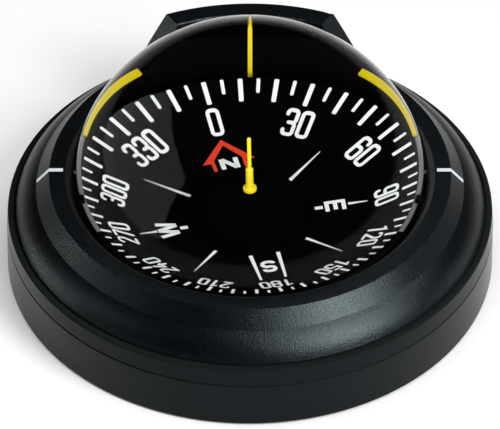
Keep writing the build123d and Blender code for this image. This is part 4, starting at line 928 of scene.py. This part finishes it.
class FlatShapes:
    """Thin closed shapes drawn in a plane, each point then given its place."""

    MITRE = 0.35
    CAP_STEPS = 6

    def __init__(self, thickness: float) -> None:
        """Starts an empty sheet.

        Args:
            thickness: of the shapes, in mm.
        """
        self.thickness = thickness
        self.points: list[Point] = []
        self.faces: list[list[int]] = []

    def _loop(self, outline: list[Flat], height: float) -> list[int]:
        """Adds a loop of points.

        Args:
            outline: the loop.
            height: its height in the shape's thickness.

        Returns:
            The points' numbers.
        """
        start = len(self.points)
        self.points += [(x, y, height) for x, y in outline]
        return list(range(start, start + len(outline)))

    @staticmethod
    def _walls(low: list[int], high: list[int]) -> list[list[int]]:
        """Walls between two loops of the same length."""
        count = len(low)
        return [[low[i], low[(i + 1) % count], high[(i + 1) % count], high[i]] for i in range(count)]

    def plate(self, outline: list[Flat]) -> None:
        """Adds a filled shape, drawn counter-clockwise."""
        low, high = self._loop(outline, 0.0), self._loop(outline, self.thickness)
        self.faces += [high, low[::-1], *self._walls(low, high)]

    def ring(self, outer: list[Flat], inner: list[Flat]) -> None:
        """Adds the shape between two loops of the same length.

        Args:
            outer: the outer loop, counter-clockwise.
            inner: the inner loop, counter-clockwise.
        """
        a, b = self._loop(outer, 0.0), self._loop(outer, self.thickness)
        c, d = self._loop(inner, 0.0), self._loop(inner, self.thickness)
        self.faces += [*self._walls(a, b), *self._walls(d, c), *self._walls(b, d), *self._walls(c, a)]

    def stroke(self, path: list[Flat], width: float, closed: bool = False, rounded: bool = True) -> None:
        """Adds a line of even width.

        Args:
            path: its middle line.
            width: its width.
            closed: joins the end to the start.
            rounded: rounds the ends.
        """
        line = [Vector(p) for p in path]
        count, half = len(line), width / 2
        left, right = [], []
        for i, here in enumerate(line):
            before = line[i - 1] if closed or i else None
            after = line[(i + 1) % count] if closed or i < count - 1 else None
            into = (here - before).normalized() if before is not None else None
            out = (after - here).normalized() if after is not None else None
            into, out = into or out, out or into
            middle = (into + out).normalized()
            side = Vector((-middle.y, middle.x)) * half / max(self.MITRE, middle.dot(into))
            left.append(tuple(here + side))
            right.append(tuple(here - side))
        if closed:
            self.ring(*((right, left) if self._turns_left(line) else (left[::-1], right[::-1])))
            return
        tip = self._cap(line[-1], line[-1] - line[-2], half) if rounded else []
        tail = self._cap(line[0], line[0] - line[1], half) if rounded else []
        self.plate(right + tip + left[::-1] + tail)

    @staticmethod
    def _turns_left(line: list[Vector]) -> bool:
        """Tells a counter-clockwise loop from a clockwise one."""
        return sum(a.x * b.y - b.x * a.y for a, b in zip(line, line[1:] + line[:1])) > 0

    def _cap(self, end: Vector, along: Vector, half: float) -> list[Flat]:
        """Points of a half round end.

        Args:
            end: the line's end.
            along: the way that the line points there.
            half: half the line's width.

        Returns:
            The points from the right side to the left.
        """
        start = math.atan2(along.y, along.x) - math.pi / 2
        turns = [start + math.pi * i / self.CAP_STEPS for i in range(1, self.CAP_STEPS)]
        return [(end.x + half * math.cos(t), end.y + half * math.sin(t)) for t in turns]

    def mesh(self, name: str, place: SolidPlace) -> bpy.types.Mesh:
        """Builds the mesh.

        Args:
            name: its name.
            place: gives a point's place in metres from its flat place in mm.

        Returns:
            The mesh.
        """
        made = bpy.data.meshes.new(name)
        made.from_pydata([place(*p) for p in self.points], [], self.faces)
        shell = bmesh.new()
        shell.from_mesh(made)
        bmesh.ops.triangulate(shell, faces=shell.faces)
        bmesh.ops.recalc_face_normals(shell, faces=shell.faces)
        shell.to_mesh(made)
        shell.free()
        return made


# --- sub-assemblies ----------------------------------------------------------


@dataclass
class Glyphs:
    """Numerals of even stroke, drawn as middle lines about their own centre."""

    height: float = 6.55
    width: float = 3.0
    stroke: float = 0.84
    corner: float = 0.75
    gap: float = 0.36
    waist: float = 0.42
    hook: float = 0.25

    @property
    def half(self) -> Flat:
        """Half width and half height of the middle lines."""
        return (self.width - self.stroke) / 2, (self.height - self.stroke) / 2

    def loop(self, low: float, high: float) -> tuple[list[Flat], bool]:
        """A rounded upright loop.

        Args:
            low: its lowest height.
            high: its highest height.

        Returns:
            Its middle line, which closes.
        """
        x, _ = self.half
        r = min(self.corner, x, (high - low) / 2)
        upper = arc((x - r, high - r), r, 0, 90) + arc((-x + r, high - r), r, 90, 180)
        lower = arc((-x + r, low + r), r, 180, 270) + arc((x - r, low + r), r, 270, 360)
        return upper + lower, True

    def digit(self, sign: str) -> list[tuple[list[Flat], bool]]:
        """The strokes of a numeral.

        Args:
            sign: the numeral.

        Returns:
            Middle lines, each with whether it closes.
        """
        x, y = self.half
        r, waist = self.corner, self.waist
        top = arc((-x + r, y - r), r, 180, 90) + arc((x - r, y - r), r, 90, 0)
        hook = [(-x, y - r - self.hook)] + top
        upper = hook + arc((x - r, r), r, 0, -90, 4) + [(-0.35, 0.0)]
        bowl = arc((x - r, waist - r), r, 90, 0) + arc((x - r, -y + r), r, 0, -90)
        bowl += arc((-x + r, -y + r), r, 270, 180)
        stem = [(-x, waist - r)] + top + [(x, y - r - self.hook)]
        six = [self.loop(-y, waist), (stem, False)]
        shapes = {
            "0": [self.loop(-y, y)],
            "1": [([(-0.75, y - 0.85), (0.3, y), (0.3, -y)], False)],
            "2": [(hook + [(x, 0.75), (-x, -y)], False), ([(-x, -y), (x, -y)], False)],
            "3": [(upper, False), ([(a, -b) for a, b in upper], False)],
            "4": [([(0.15, y), (-x, -0.9), (x, -0.9)], False), ([(0.5, 0.3), (0.5, -y)], False)],
            "5": [([(x, y), (-x, y), (-x, waist)] + bowl + [(-x, -y + r + self.hook)], False)],
            "6": six,
            "7": [([(-x, y), (x, y), (x, y - 0.5), (-0.35, -y)], False)],
            "8": [self.loop(0.0, y), self.loop(-y, 0.0)],
            "9": [([(-a, -b) for a, b in line], shut) for line, shut in six],
        }
        return shapes[sign]

    def number(self, sheet: FlatShapes, text: str, place: FlatPlace) -> None:
        """Draws a number.

        Args:
            sheet: the sheet to draw on.
            text: the number.
            place: gives a flat place on the sheet from one in the number.
        """
        step = self.width + self.gap
        for i, sign in enumerate(text):
            shift = (i - (len(text) - 1) / 2) * step
            for line, shut in self.digit(sign):
                sheet.stroke([place(a + shift, b) for a, b in line], self.stroke, shut)


@dataclass
class DialMarks:
    """Letters and plain marks, tops outwards: E and W about their own middle, the rest about the dial's."""

    east: tuple[Stroke, ...] = (
        ((-1.55, -2.6), (-1.55, 2.6)),
        ((-1.1, 2.08), (2.0, 2.08)),
        ((-1.1, 0.0), (1.6, 0.0)),
        ((-1.1, -2.08), (2.0, -2.08)),
    )
    east_r: float = 21.4
    east_w: float = 1.05
    west: tuple[Stroke, ...] = (
        ((-2.85, 2.6), (-1.6, -2.6)),
        ((-1.45, -2.6), (-0.05, 2.6)),
        ((0.05, 2.6), (1.45, -2.6)),
        ((1.6, -2.6), (2.85, 2.6)),
    )
    west_r: float = 21.6
    west_w: float = 1.2
    south: Stroke = (
        (1.45, 24.3),
        *arc((0.45, 24.35), 1.0, 0, 90, 4),
        *arc((-0.45, 24.25), 1.1, 90, 270, 8),
        *arc((0.4, 21.95), 1.2, 90, -90, 8),
        *arc((-0.45, 21.85), 1.1, 270, 190, 4),
    )
    south_w: float = 1.15
    north: tuple[Stroke, ...] = (
        ((-1.65, 19.8), (-1.65, 23.4)),
        ((1.65, 19.8), (1.65, 23.4)),
        ((-1.5, 23.25), (1.5, 19.95)),
    )
    north_w: float = 1.1
    abeam_inner: Stroke = ((-0.6, 16.3), (0.6, 16.3), (0.6, 18.3), (-0.6, 18.3))
    abeam_outer: Stroke = ((-0.42, 24.6), (0.42, 24.6), (0.14, 29.4), (-0.14, 29.4))
    astern_bar: Stroke = ((3.2, 16.6), (4.3, 16.6), (3.9, 29.6), (3.2, 29.6))
    wedge: Stroke = ((-0.475, 17.1), (0.475, 17.1), (0.09, 29.3), (-0.09, 29.3))
    pointer_tip: Flat = (0.0, 29.8)
    pointer_notch: Flat = (0.0, 27.9)
    pointer_side: Stroke = ((3.25, 23.3), (3.25, 19.5), (4.1, 19.5), (4.1, 22.3), (6.1, 22.3))


def mirrored(side: Stroke) -> list[Flat]:
    """The left side of a shape from its right side, in turning order."""
    return [(-x, y) for x, y in side[::-1]]


@dataclass
class CardDial:
    """The turning dial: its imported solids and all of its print."""

    heading: float = 12.8
    dip: float = 3.7
    centre: float = 26.0
    face: float = -6.85
    break_r: float = 31.3
    slope: float = 3.4 / 12.2
    lift: float = 0.02
    film: float = 0.05
    tick_count: int = 72
    tick_out: float = 43.3
    long_in: float = 38.45
    short_in: float = 40.28
    long_w: float = 1.0
    short_w: float = 0.75
    tick_corner: float = 0.25
    tick_corner_steps: int = 3
    tick_weld: float = 0.001
    number_r: float = 34.38
    number_step: int = 30
    glyphs: Glyphs = field(default_factory=Glyphs)
    marks: DialMarks = field(default_factory=DialMarks)

    def height(self, radius: float) -> float:
        """Height of the dial's face at a radius."""
        return self.face + max(0.0, (radius - self.break_r) * self.slope)

    def axes(self) -> Matrix:
        """Gives the dial's own axes: east, north and up, about the dome's centre.

        Returns:
            The turn and shift from the dial's axes to the object's.
        """
        h, d = math.radians(self.heading), math.radians(self.dip)
        east = Vector((math.cos(h), math.sin(h), 0.0))
        up = Vector((-math.sin(h) * math.sin(d), math.cos(h) * math.sin(d), math.cos(d)))
        north = up.cross(east)
        turned = Matrix((east, north, up)).transposed().to_4x4()
        return Matrix.Translation((0.0, 0.0, self.centre * MM)) @ turned

    def on_face(self, u: float, v: float, lift: float) -> Vector:
        """Place of a point of print.

        Args:
            u: distance east of the centre.
            v: distance north of the centre.
            lift: height in the print's film.

        Returns:
            The place in metres.
        """
        height = self.height(math.hypot(u, v)) + self.lift + lift
        return self.axes() @ Vector((u * MM, v * MM, height * MM))

    def around(self, angle: float, radius: float = 0.0) -> FlatPlace:
        """Gives a drawing plane with its top outwards.

        Args:
            angle: clockwise from north, in degrees.
            radius: of the plane's centre.

        Returns:
            A function from a place in the plane to one on the dial.
        """
        t = math.radians(angle)
        out, clockwise = (math.sin(t), math.cos(t)), (math.cos(t), -math.sin(t))

        def place(a: float, b: float) -> Flat:
            """The place on the dial of a place in the plane."""
            return out[0] * (radius + b) + clockwise[0] * a, out[1] * (radius + b) + clockwise[1] * a

        return place

    def sheet(self, shop: Workshop, shapes: FlatShapes, name: str, ink: Finish) -> None:
        """Places a sheet of print on the dial.

        Args:
            shop: the workshop.
            shapes: the print.
            name: the piece's name.
            ink: its ink.
        """
        shop.place(shapes.mesh(name, self.on_face), name, "card", Slot.dial_black, ink)

    def _tick(self, g: Graph, width: object, length: object, film: object) -> bpy.types.NodeSocket:
        """Makes one tick, a thin closed plate with rounded corners.

        Args:
            g: the graph.
            width: across the tick.
            length: along the tick.
            film: its thickness.

        Returns:
            The tick, in the middle of its own axes.
        """
        bar = g.node("GeometryNodeCurvePrimitiveQuadrilateral", {"Width": width, "Height": length})
        corner = {"Curve": bar.outputs[0], "Radius": self.tick_corner * MM}
        smooth = g.node("GeometryNodeFilletCurve", corner, mode="POLY")
        smooth.inputs["Count"].default_value = self.tick_corner_steps
        face = g.node("GeometryNodeFillCurve", {0: smooth.outputs[0]}, mode="NGONS").outputs[0]
        rise = {"Mesh": face, "Offset Scale": film}
        raised = g.node("GeometryNodeExtrudeMesh", rise, mode="FACES").outputs[0]
        under = g.node("GeometryNodeFlipFaces", {0: face}).outputs[0]
        both = {"Geometry": self._join(g, (raised, under)), "Distance": self.tick_weld * MM}
        return g.node("GeometryNodeMergeByDistance", both).outputs[0]

    def _spot(self, g: Graph, turn: bpy.types.NodeSocket, radius: object) -> bpy.types.NodeSocket:
        """Gives a tick's place on the sloping face.

        Args:
            g: the graph.
            turn: clockwise from north, in radians.
            radius: out from the dial's axis.

        Returns:
            The place, on the dial's own axes.
        """
        past_break = g.math("SUBTRACT", radius, self.break_r * MM)
        climb = g.times(past_break, self.slope)
        east = g.times(g.math("SINE", turn), radius)
        north = g.times(g.math("COSINE", turn), radius)
        high = g.math("ADD", (self.face + self.lift) * MM, climb)
        return g.node("ShaderNodeCombineXYZ", {0: east, 1: north, 2: high}).outputs[0]

    @staticmethod
    def _join(g: Graph, parts: tuple[bpy.types.NodeSocket, ...]) -> bpy.types.NodeSocket:
        """Joins several parts.

        Args:
            g: the graph.
            parts: the parts.

        Returns:
            The parts as one.
        """
        whole = g.node("GeometryNodeJoinGeometry")
        for part in parts:
            g.feed(whole.inputs[0], part)
        return whole.outputs[0]

    def ticks(self, shop: Workshop) -> None:
        """Builds the ring of long and short ticks with a geometry tree.

        Args:
            shop: the workshop.
        """
        lengths = {"Outer Radius": self.tick_out, "Long Radius": self.long_in, "Short Radius": self.short_in}
        lengths |= {"Long Width": self.long_w, "Short Width": self.short_w, "Film": self.film}
        sizes = {"Count": ("NodeSocketInt", self.tick_count)}
        sizes |= {label: ("NodeSocketFloat", length * MM) for label, length in lengths.items()}
        sizes["Slope"] = ("NodeSocketFloat", math.atan(self.slope))
        sizes["Material"] = ("NodeSocketMaterial", shop.paint(shop.inks.white))
        built = GeometryTree("tick_ring", sizes)
        g, given = built.graph, built.given.outputs
        index = g.node("GeometryNodeInputIndex").outputs[0]
        odd = g.math("MODULO", index, 2.0)
        turn = g.times(index, g.math("DIVIDE", math.tau, given["Count"]))
        lean = {0: given["Slope"], 2: g.times(turn, -1.0)}
        facing = g.node("ShaderNodeCombineXYZ", lean).outputs[0]
        rings = []
        for kind, chosen in (("Long", g.math("SUBTRACT", 1.0, odd)), ("Short", odd)):
            near, far = given[kind + " Radius"], given["Outer Radius"]
            tick = self._tick(g, given[kind + " Width"], g.math("SUBTRACT", far, near), given["Film"])
            spot = self._spot(g, turn, g.times(g.math("ADD", far, near), 0.5))
            points = g.node("GeometryNodePoints", {"Count": given["Count"], "Position": spot}).outputs[0]
            ring = {"Points": points, "Selection": chosen, "Instance": tick, "Rotation": facing}
            rings.append(g.node("GeometryNodeInstanceOnPoints", ring).outputs[0])
        built.close(self._join(g, tuple(rings)))
        mesh = built.run(bpy.data.meshes.new("tick_start"), "dial_ticks")
        mesh.transform(self.axes())
        shop.place(mesh, "dial_ticks", "card", Slot.dial_black)

    def numbers(self, shop: Workshop) -> None:
        """Prints the numbers, tops outwards.

        Args:
            shop: the workshop.
        """
        sheet = FlatShapes(self.film)
        for angle in range(0, 360, self.number_step):
            self.glyphs.number(sheet, str(angle), self.around(angle, self.number_r))
        self.sheet(shop, sheet, "dial_numbers", shop.inks.white)

    @staticmethod
    def lines(sheet: FlatShapes, strokes: tuple[Stroke, ...], width: float, place: FlatPlace) -> None:
        """Draws square-ended strokes.

        Args:
            sheet: the sheet to draw on.
            strokes: their middle lines.
            width: their width.
            place: gives a flat place on the sheet from one in the strokes.
        """
        for line in strokes:
            sheet.stroke([place(*p) for p in line], width, rounded=False)

    def letters(self, shop: Workshop) -> None:
        """Prints E, W and S with the marks that go with them.

        Args:
            shop: the workshop.
        """
        sheet = FlatShapes(self.film)
        marks = self.marks
        self.lines(sheet, marks.east, marks.east_w, self.around(90, marks.east_r))
        self.lines(sheet, marks.west, marks.west_w, self.around(270, marks.west_r))
        for angle in (90, 270):
            spot = self.around(angle)
            sheet.plate([spot(*p) for p in marks.abeam_inner])
            sheet.plate([spot(*p) for p in marks.abeam_outer])
        south = self.around(180)
        self.lines(sheet, (marks.south,), marks.south_w, south)
        for bar in (mirrored(marks.astern_bar), marks.astern_bar):
            sheet.plate([south(*p) for p in bar])
        self.sheet(shop, sheet, "dial_letters", shop.inks.white)

    def wedges(self, shop: Workshop) -> None:
        """Prints the four thin wedges between the letters.

        Args:
            shop: the workshop.
        """
        sheet = FlatShapes(self.film)
        for angle in (45, 135, 225, 315):
            spot = self.around(angle)
            sheet.plate([spot(*p) for p in self.marks.wedge])
        self.sheet(shop, sheet, "dial_wedges", shop.inks.white)

    def pointer(self, shop: Workshop) -> None:
        """Prints the plain red pointer and the N inside it.

        Args:
            shop: the workshop.
        """
        red, white = FlatShapes(self.film), FlatShapes(self.film)
        marks = self.marks
        left = mirrored((marks.pointer_notch, *marks.pointer_side))
        red.plate([marks.pointer_tip, *left, *marks.pointer_side])
        self.sheet(shop, red, "dial_pointer", shop.inks.red)
        for line in marks.north:
            white.stroke(line, marks.north_w, rounded=False)
        self.sheet(shop, white, "dial_north", shop.inks.white)

    def build(self, shop: Workshop) -> None:
        """Dresses the dial's solids and prints it.

        Args:
            shop: the workshop.
        """
        shop.dress(Slot.dial_black.value, "card_dial", "card_hub")
        shop.dress(Slot.jewel.value, "jewel_cup")
        shop.dress(Slot.float_foam.value, "card_float")
        shop.dress(Slot.magnet_steel.value, "card_magnets")
        shop.dress(Slot.marker_yellow.value, "card_needle")
        self.ticks(shop)
        self.numbers(shop)
        self.letters(shop)
        self.wedges(shop)
        self.pointer(shop)


@dataclass
class LiquidDome:
    """Dome and liquid as one clear turned body."""

    radius: float = 64.5
    centre: float = 26.0
    skirt: float = 20.0
    flange_r: float = 69.5
    flange_low: float = 17.0
    liquid_r: float = 59.9
    floor: float = 2.1
    steps: int = 192
    rows: int = 56

    def build(self, shop: Workshop) -> bpy.types.Object:
        """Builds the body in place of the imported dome.

        Args:
            shop: the workshop.

        Returns:
            The clear body.
        """
        outer, inner = self.flange_r, self.liquid_r
        profile = [(0.0, self.floor), (inner, self.floor), (inner, self.flange_low)]
        profile += [(outer, self.flange_low), (outer, self.skirt), (self.radius, self.skirt)]
        for rise in (math.pi / 2 * i / self.rows for i in range(self.rows + 1)):
            profile.append((self.radius * math.cos(rise), self.centre + self.radius * math.sin(rise)))
        profile[-1] = (0.0, self.centre + self.radius)
        mesh = lathe(profile, self.steps, "liquid_dome", shop.paint(Slot.dome_clear.value))
        body = shop.place(mesh, "liquid_dome", "casing", Slot.dome_clear)
        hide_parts("dome")
        return body


@dataclass
class Casing:
    """Lower and upper casing with seals, fixings and the side marks."""

    mark_w: float = 1.7
    film: float = 0.05
    lift: float = 0.02
    flat_in: float = 65.9
    flat_out: float = 70.8
    flat_z: float = 38.5
    slope_out: float = 75.4
    slope_z: float = 33.2

    def marks(self, shop: Workshop) -> None:
        """Paints the white abeam marks over the flat and down the slope.

        Args:
            shop: the workshop.
        """
        half = self.mark_w / 2
        stops = [self.flat_in, self.flat_out, self.slope_out]
        for name, side in (("left_mark", -1.0), ("right_mark", 1.0)):
            sheet = FlatShapes(self.film)
            for near, far in zip(stops, stops[1:]):
                sheet.plate([(near, -half), (far, -half), (far, half), (near, half)])
            mesh = sheet.mesh(name, lambda r, y, lift, s=side: self.over(s, r, y, lift))
            shop.place(mesh, name, "casing", Slot.casing_black, shop.inks.mark)

    def over(self, side: float, radius: float, along: float, lift: float) -> Point:
        """Place of a point of a side mark.

        Args:
            side: -1 for left, 1 for right.
            radius: out from the axis.
            along: fore and aft of the mark's middle.
            lift: height in the paint.

        Returns:
            The place in metres.
        """
        share = max(0.0, (radius - self.flat_out) / (self.slope_out - self.flat_out))
        height = self.flat_z + share * (self.slope_z - self.flat_z)
        reach = math.sqrt(radius * radius - along * along)
        return side * (reach + share * self.lift) * MM, along * MM, (height + lift + self.lift) * MM

    def build(self, shop: Workshop) -> None:
        """Dresses the casing's solids and paints its marks.

        Args:
            shop: the workshop.
        """
        shop.dress(Slot.casing_black.value, "base_ring", "bezel_cover")
        shop.dress(Slot.seal_rubber.value, "base_gasket", "bezel_seal", "dome_seal", "filler_seal")
        shop.dress(Slot.dome_clear.value, "dome")
        shop.dress(Slot.inner_black.value, "bowl", "dome_clamp_ring")
        shop.dress(Slot.stainless.value, "clamp_screws", "cover_screws")
        shop.dress(Slot.brass.value, "mounting_inserts", "filler_plug")
        shop.dress(Slot.bellows_metal.value, "expansion_bellows")
        self.marks(shop)


@dataclass
class LampUnit:
    """The lamp in the hood and its lead."""

    housing: tuple[str, ...] = ("lamp_housing", "lamp_inlet")

    def build(self, shop: Workshop) -> None:
        """Dresses the lamp's solids.

        Args:
            shop: the workshop.
        """
        shop.dress(Slot.inner_black.value, *self.housing)
        shop.dress(Slot.lens_red.value, "lamp_lens")
        shop.dress(Slot.board_green.value, "lamp_board")
        shop.dress(Slot.led_red.value, "lamp_leds")
        shop.dress(Slot.brass.value, "inlet_pins")
        shop.dress(Slot.lead_sheath.value, "lamp_lead")


@dataclass
class Gimbal:
    """Carrier, gimbal ring and cradle with its lubber marks."""

    band_r: float = 45.6
    band_w: float = 1.9
    band_z: float = 25.02
    film: float = 0.05
    band_from: float = 60.5
    band_to: float = 108.0
    steps: int = 32

    def bands(self, shop: Workshop) -> None:
        """Paints the lubber ring's grey bands, which go on from its yellow arcs.

        Args:
            shop: the workshop.
        """
        turns = spread(self.band_from, self.band_to, self.steps)
        for name, side in (("lubber_band_left", -1.0), ("lubber_band_right", 1.0)):
            sheet = FlatShapes(self.film)
            line = [(side * self.band_r * math.sin(t), self.band_r * math.cos(t)) for t in turns]
            sheet.stroke(line, self.band_w, rounded=False)
            mesh = sheet.mesh(name, lambda x, y, lift: (x * MM, y * MM, (self.band_z + lift) * MM))
            shop.place(mesh, name, "lubber_cradle", Slot.inner_black, shop.inks.band)

    def build(self, shop: Workshop) -> None:
        """Dresses the gimbal's solids.

        Args:
            shop: the workshop.
        """
        shop.dress(Slot.inner_black.value, "gimbal_carrier", "gimbal_ring")
        shop.dress(shop.inks.cradle, "cradle")
        shop.dress(Slot.weight_metal.value, "cradle_weight")
        shop.dress(Slot.stainless.value, "roll_pins", "pitch_pins", "pivot_post")
        shop.dress(Slot.marker_yellow.value, "lubber_post")
        shop.dress(shop.inks.arcs, "lubber_arcs")
        self.bands(shop)


@dataclass
class Correctors:
    """The two corrector spindles with their magnets and clips."""

    sides: tuple[str, ...] = ("side", "rear")

    def build(self, shop: Workshop) -> None:
        """Dresses both correctors.

        Args:
            shop: the workshop.
        """
        for side in self.sides:
            shop.dress(Slot.brass.value, side + "_corrector_spindle")
            shop.dress(Slot.magnet_steel.value, side + "_corrector_magnet")
            shop.dress(Slot.stainless.value, side + "_corrector_clip")


class Reach(Enum):
    """What a lamp shines on."""

    AROUND = "everything but the clear body and the casing"
    DOME = "only the clear body, as gloss"
    IN_DOME = "what lies in the liquid, for the light that the dome gathers"
    CASING = "only the moulded casing"


@dataclass(frozen=True)
class Softbox:
    """A soft lamp, placed by its direction from the object in degrees aside of the front and up."""

    name: str
    aside: float
    rise: float
    distance: float
    width: float
    height: float
    brightness: float
    reach: Reach


@dataclass
class StudioSet:
    """Floor, lamps, world and camera."""

    lens: float = 217.6
    sensor: float = 36.0
    clip: tuple[float, float] = (0.05, 100.0)
    distance: float = 1.079
    tilt: float = 42.02
    aim: float = 0.0174
    floor_half: float = 30.0
    floor_drop: float = 0.0002
    floor_colour: Colour = (0.9, 0.9, 0.9)
    floor_roughness: float = 0.9
    floor_level: float = 0.1
    floor_glow: float = 0.08
    sky_colour: Colour = (0.9, 0.95, 1.0)
    sky_strength: float = 0.035
    boxes: tuple[Softbox, ...] = (
        Softbox("right_softbox", 50.0, 43.0, 1.5, 0.56, 0.56, 13.5, Reach.AROUND),
        Softbox("top_softbox", 10.0, 82.0, 1.5, 1.4, 1.4, 2.9, Reach.AROUND),
        Softbox("left_panel", -96.0, 14.0, 1.25, 2.1, 0.95, 0.9, Reach.AROUND),
        Softbox("left_panel_gloss", -92.0, 0.0, 1.25, 1.95, 2.62, 2.75, Reach.DOME),
        Softbox("gathered_light", -5.0, 10.0, 0.7, 0.4, 0.25, 22.0, Reach.IN_DOME),
        Softbox("casing_key", 45.0, 31.0, 1.5, 0.7, 0.9, 36.0, Reach.CASING),
        Softbox("casing_high", 62.0, 60.0, 1.5, 0.7, 0.4, 36.0, Reach.CASING),
        Softbox("casing_left", -80.0, 27.0, 1.5, 0.9, 0.7, 2.2, Reach.CASING),
        Softbox("casing_left_low", -98.0, 2.0, 1.5, 0.3, 0.1, 50.0, Reach.CASING),
        Softbox("casing_right_low", 99.0, 2.0, 1.5, 0.3, 0.1, 12.0, Reach.CASING),
        Softbox("casing_back", 145.0, 62.0, 1.5, 0.7, 0.5, 4.0, Reach.CASING),
    )

    def floor(self) -> None:
        """Lays the pale floor, which keeps the shadow."""
        mesh = bpy.data.meshes.new("studio_floor")
        half = self.floor_half
        outline = ((-half, -half), (half, -half), (half, half), (-half, half))
        mesh.from_pydata([(x, y, -self.floor_drop) for x, y in outline], [], [(0, 1, 2, 3)])
        paint = bpy.data.materials.new("studio_floor")
        paint.use_nodes = True
        g = Graph(paint.node_tree)
        matt = {"Roughness": self.floor_roughness, "Specular IOR Level": self.floor_level}
        base = g.node("ShaderNodeBsdfPrincipled", {"Base Color": self.floor_colour, **matt})
        path = g.node("ShaderNodeLightPath").outputs
        bent = g.math("MAXIMUM", path["Is Glossy Ray"], path["Is Transmission Ray"])
        seen = g.math("MAXIMUM", path["Is Camera Ray"], bent)
        g.feed(base.inputs["Emission Color"], (1.0, 1.0, 1.0))
        g.feed(base.inputs["Emission Strength"], g.times(seen, self.floor_glow))
        g.node("ShaderNodeOutputMaterial", {"Surface": base.outputs[0]})
        mesh.materials.append(paint)
        floor = bpy.data.objects.new("studio_floor", mesh)
        bpy.context.scene.collection.objects.link(floor)
        floor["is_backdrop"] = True

    @staticmethod
    def _group(name: str, members: list[bpy.types.Object], state: str) -> bpy.types.Collection:
        """Groups objects that a lamp takes or leaves out.

        Args:
            name: the group's name.
            members: the objects.
            state: INCLUDE or EXCLUDE.

        Returns:
            The group.
        """
        group = bpy.data.collections.new(name)
        for member in members:
            group.objects.link(member)
        for link in group.collection_objects:
            link.light_linking.link_state = state
        return group

    def lamps(self, dome: bpy.types.Object) -> None:
        """Hangs the softboxes.

        Args:
            dome: the clear body.
        """
        afloat = {"gimbal", "lubber_cradle", "card"}
        inside = [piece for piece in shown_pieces() if set(body_of(piece)) & afloat]
        casing = [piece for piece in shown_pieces() if piece.name in ("base_ring", "bezel_cover")]
        groups = {
            Reach.AROUND: self._group("flagged_off", [dome, *casing], "EXCLUDE"),
            Reach.DOME: self._group("clear_body", [dome], "INCLUDE"),
            Reach.IN_DOME: self._group("in_the_liquid", inside, "INCLUDE"),
            Reach.CASING: self._group("moulded_casing", casing, "INCLUDE"),
        }
        for box in self.boxes:
            data = bpy.data.lights.new(box.name, "AREA")
            data.shape = "RECTANGLE"
            data.size, data.size_y = box.width, box.height
            data.energy = box.brightness * math.pi * box.width * box.height
            lamp = bpy.data.objects.new(box.name, data)
            bpy.context.scene.collection.objects.link(lamp)
            a, e = math.radians(box.aside), math.radians(box.rise)
            out = Vector((math.sin(a) * math.cos(e), -math.cos(a) * math.cos(e), math.sin(e)))
            lamp.location = out * box.distance + Vector((0, 0, self.aim))
            lamp.rotation_euler = (-out).to_track_quat("-Z", "Y").to_euler()
            lamp.visible_camera = False
            lamp.light_linking.receiver_collection = groups[box.reach]

    def world(self) -> None:
        """Sets a dim even surround."""
        sky = bpy.data.worlds.new("studio_world")
        sky.use_nodes = True
        g = Graph(sky.node_tree)
        glow = g.node("ShaderNodeBackground", {"Color": self.sky_colour, "Strength": self.sky_strength})
        g.node("ShaderNodeOutputWorld", {"Surface": glow.outputs[0]})
        bpy.context.scene.world = sky

    def camera(self) -> None:
        """Sets the camera."""
        data = bpy.data.cameras.new("camera")
        data.lens, data.sensor_width = self.lens, self.sensor
        data.clip_start, data.clip_end = self.clip
        view = bpy.data.objects.new("camera", data)
        bpy.context.scene.collection.objects.link(view)
        tilt = math.radians(self.tilt)
        view.location = (0.0, -self.distance * math.cos(tilt), self.aim + self.distance * math.sin(tilt))
        view.rotation_euler = (math.pi / 2 - tilt, 0.0, 0.0)
        bpy.context.scene.camera = view

    def build(self, dome: bpy.types.Object) -> None:
        """Sets up the whole studio.

        Args:
            dome: the clear body.
        """
        self.floor()
        self.lamps(dome)
        self.world()
        self.camera()
        bpy.context.scene.view_settings.view_transform = "Standard"


def main() -> None:
    """Builds and dresses every sub-assembly, then the studio."""
    logging.basicConfig(level=logging.INFO, format="%(name)s: %(message)s")
    shop = Workshop(frame)
    Casing().build(shop)
    dome = LiquidDome().build(shop)
    LampUnit().build(shop)
    Gimbal().build(shop)
    CardDial().build(shop)
    Correctors().build(shop)
    StudioSet().build(dome)
    LOG.info("sizes written")


if __name__ == "__main__":
    main()
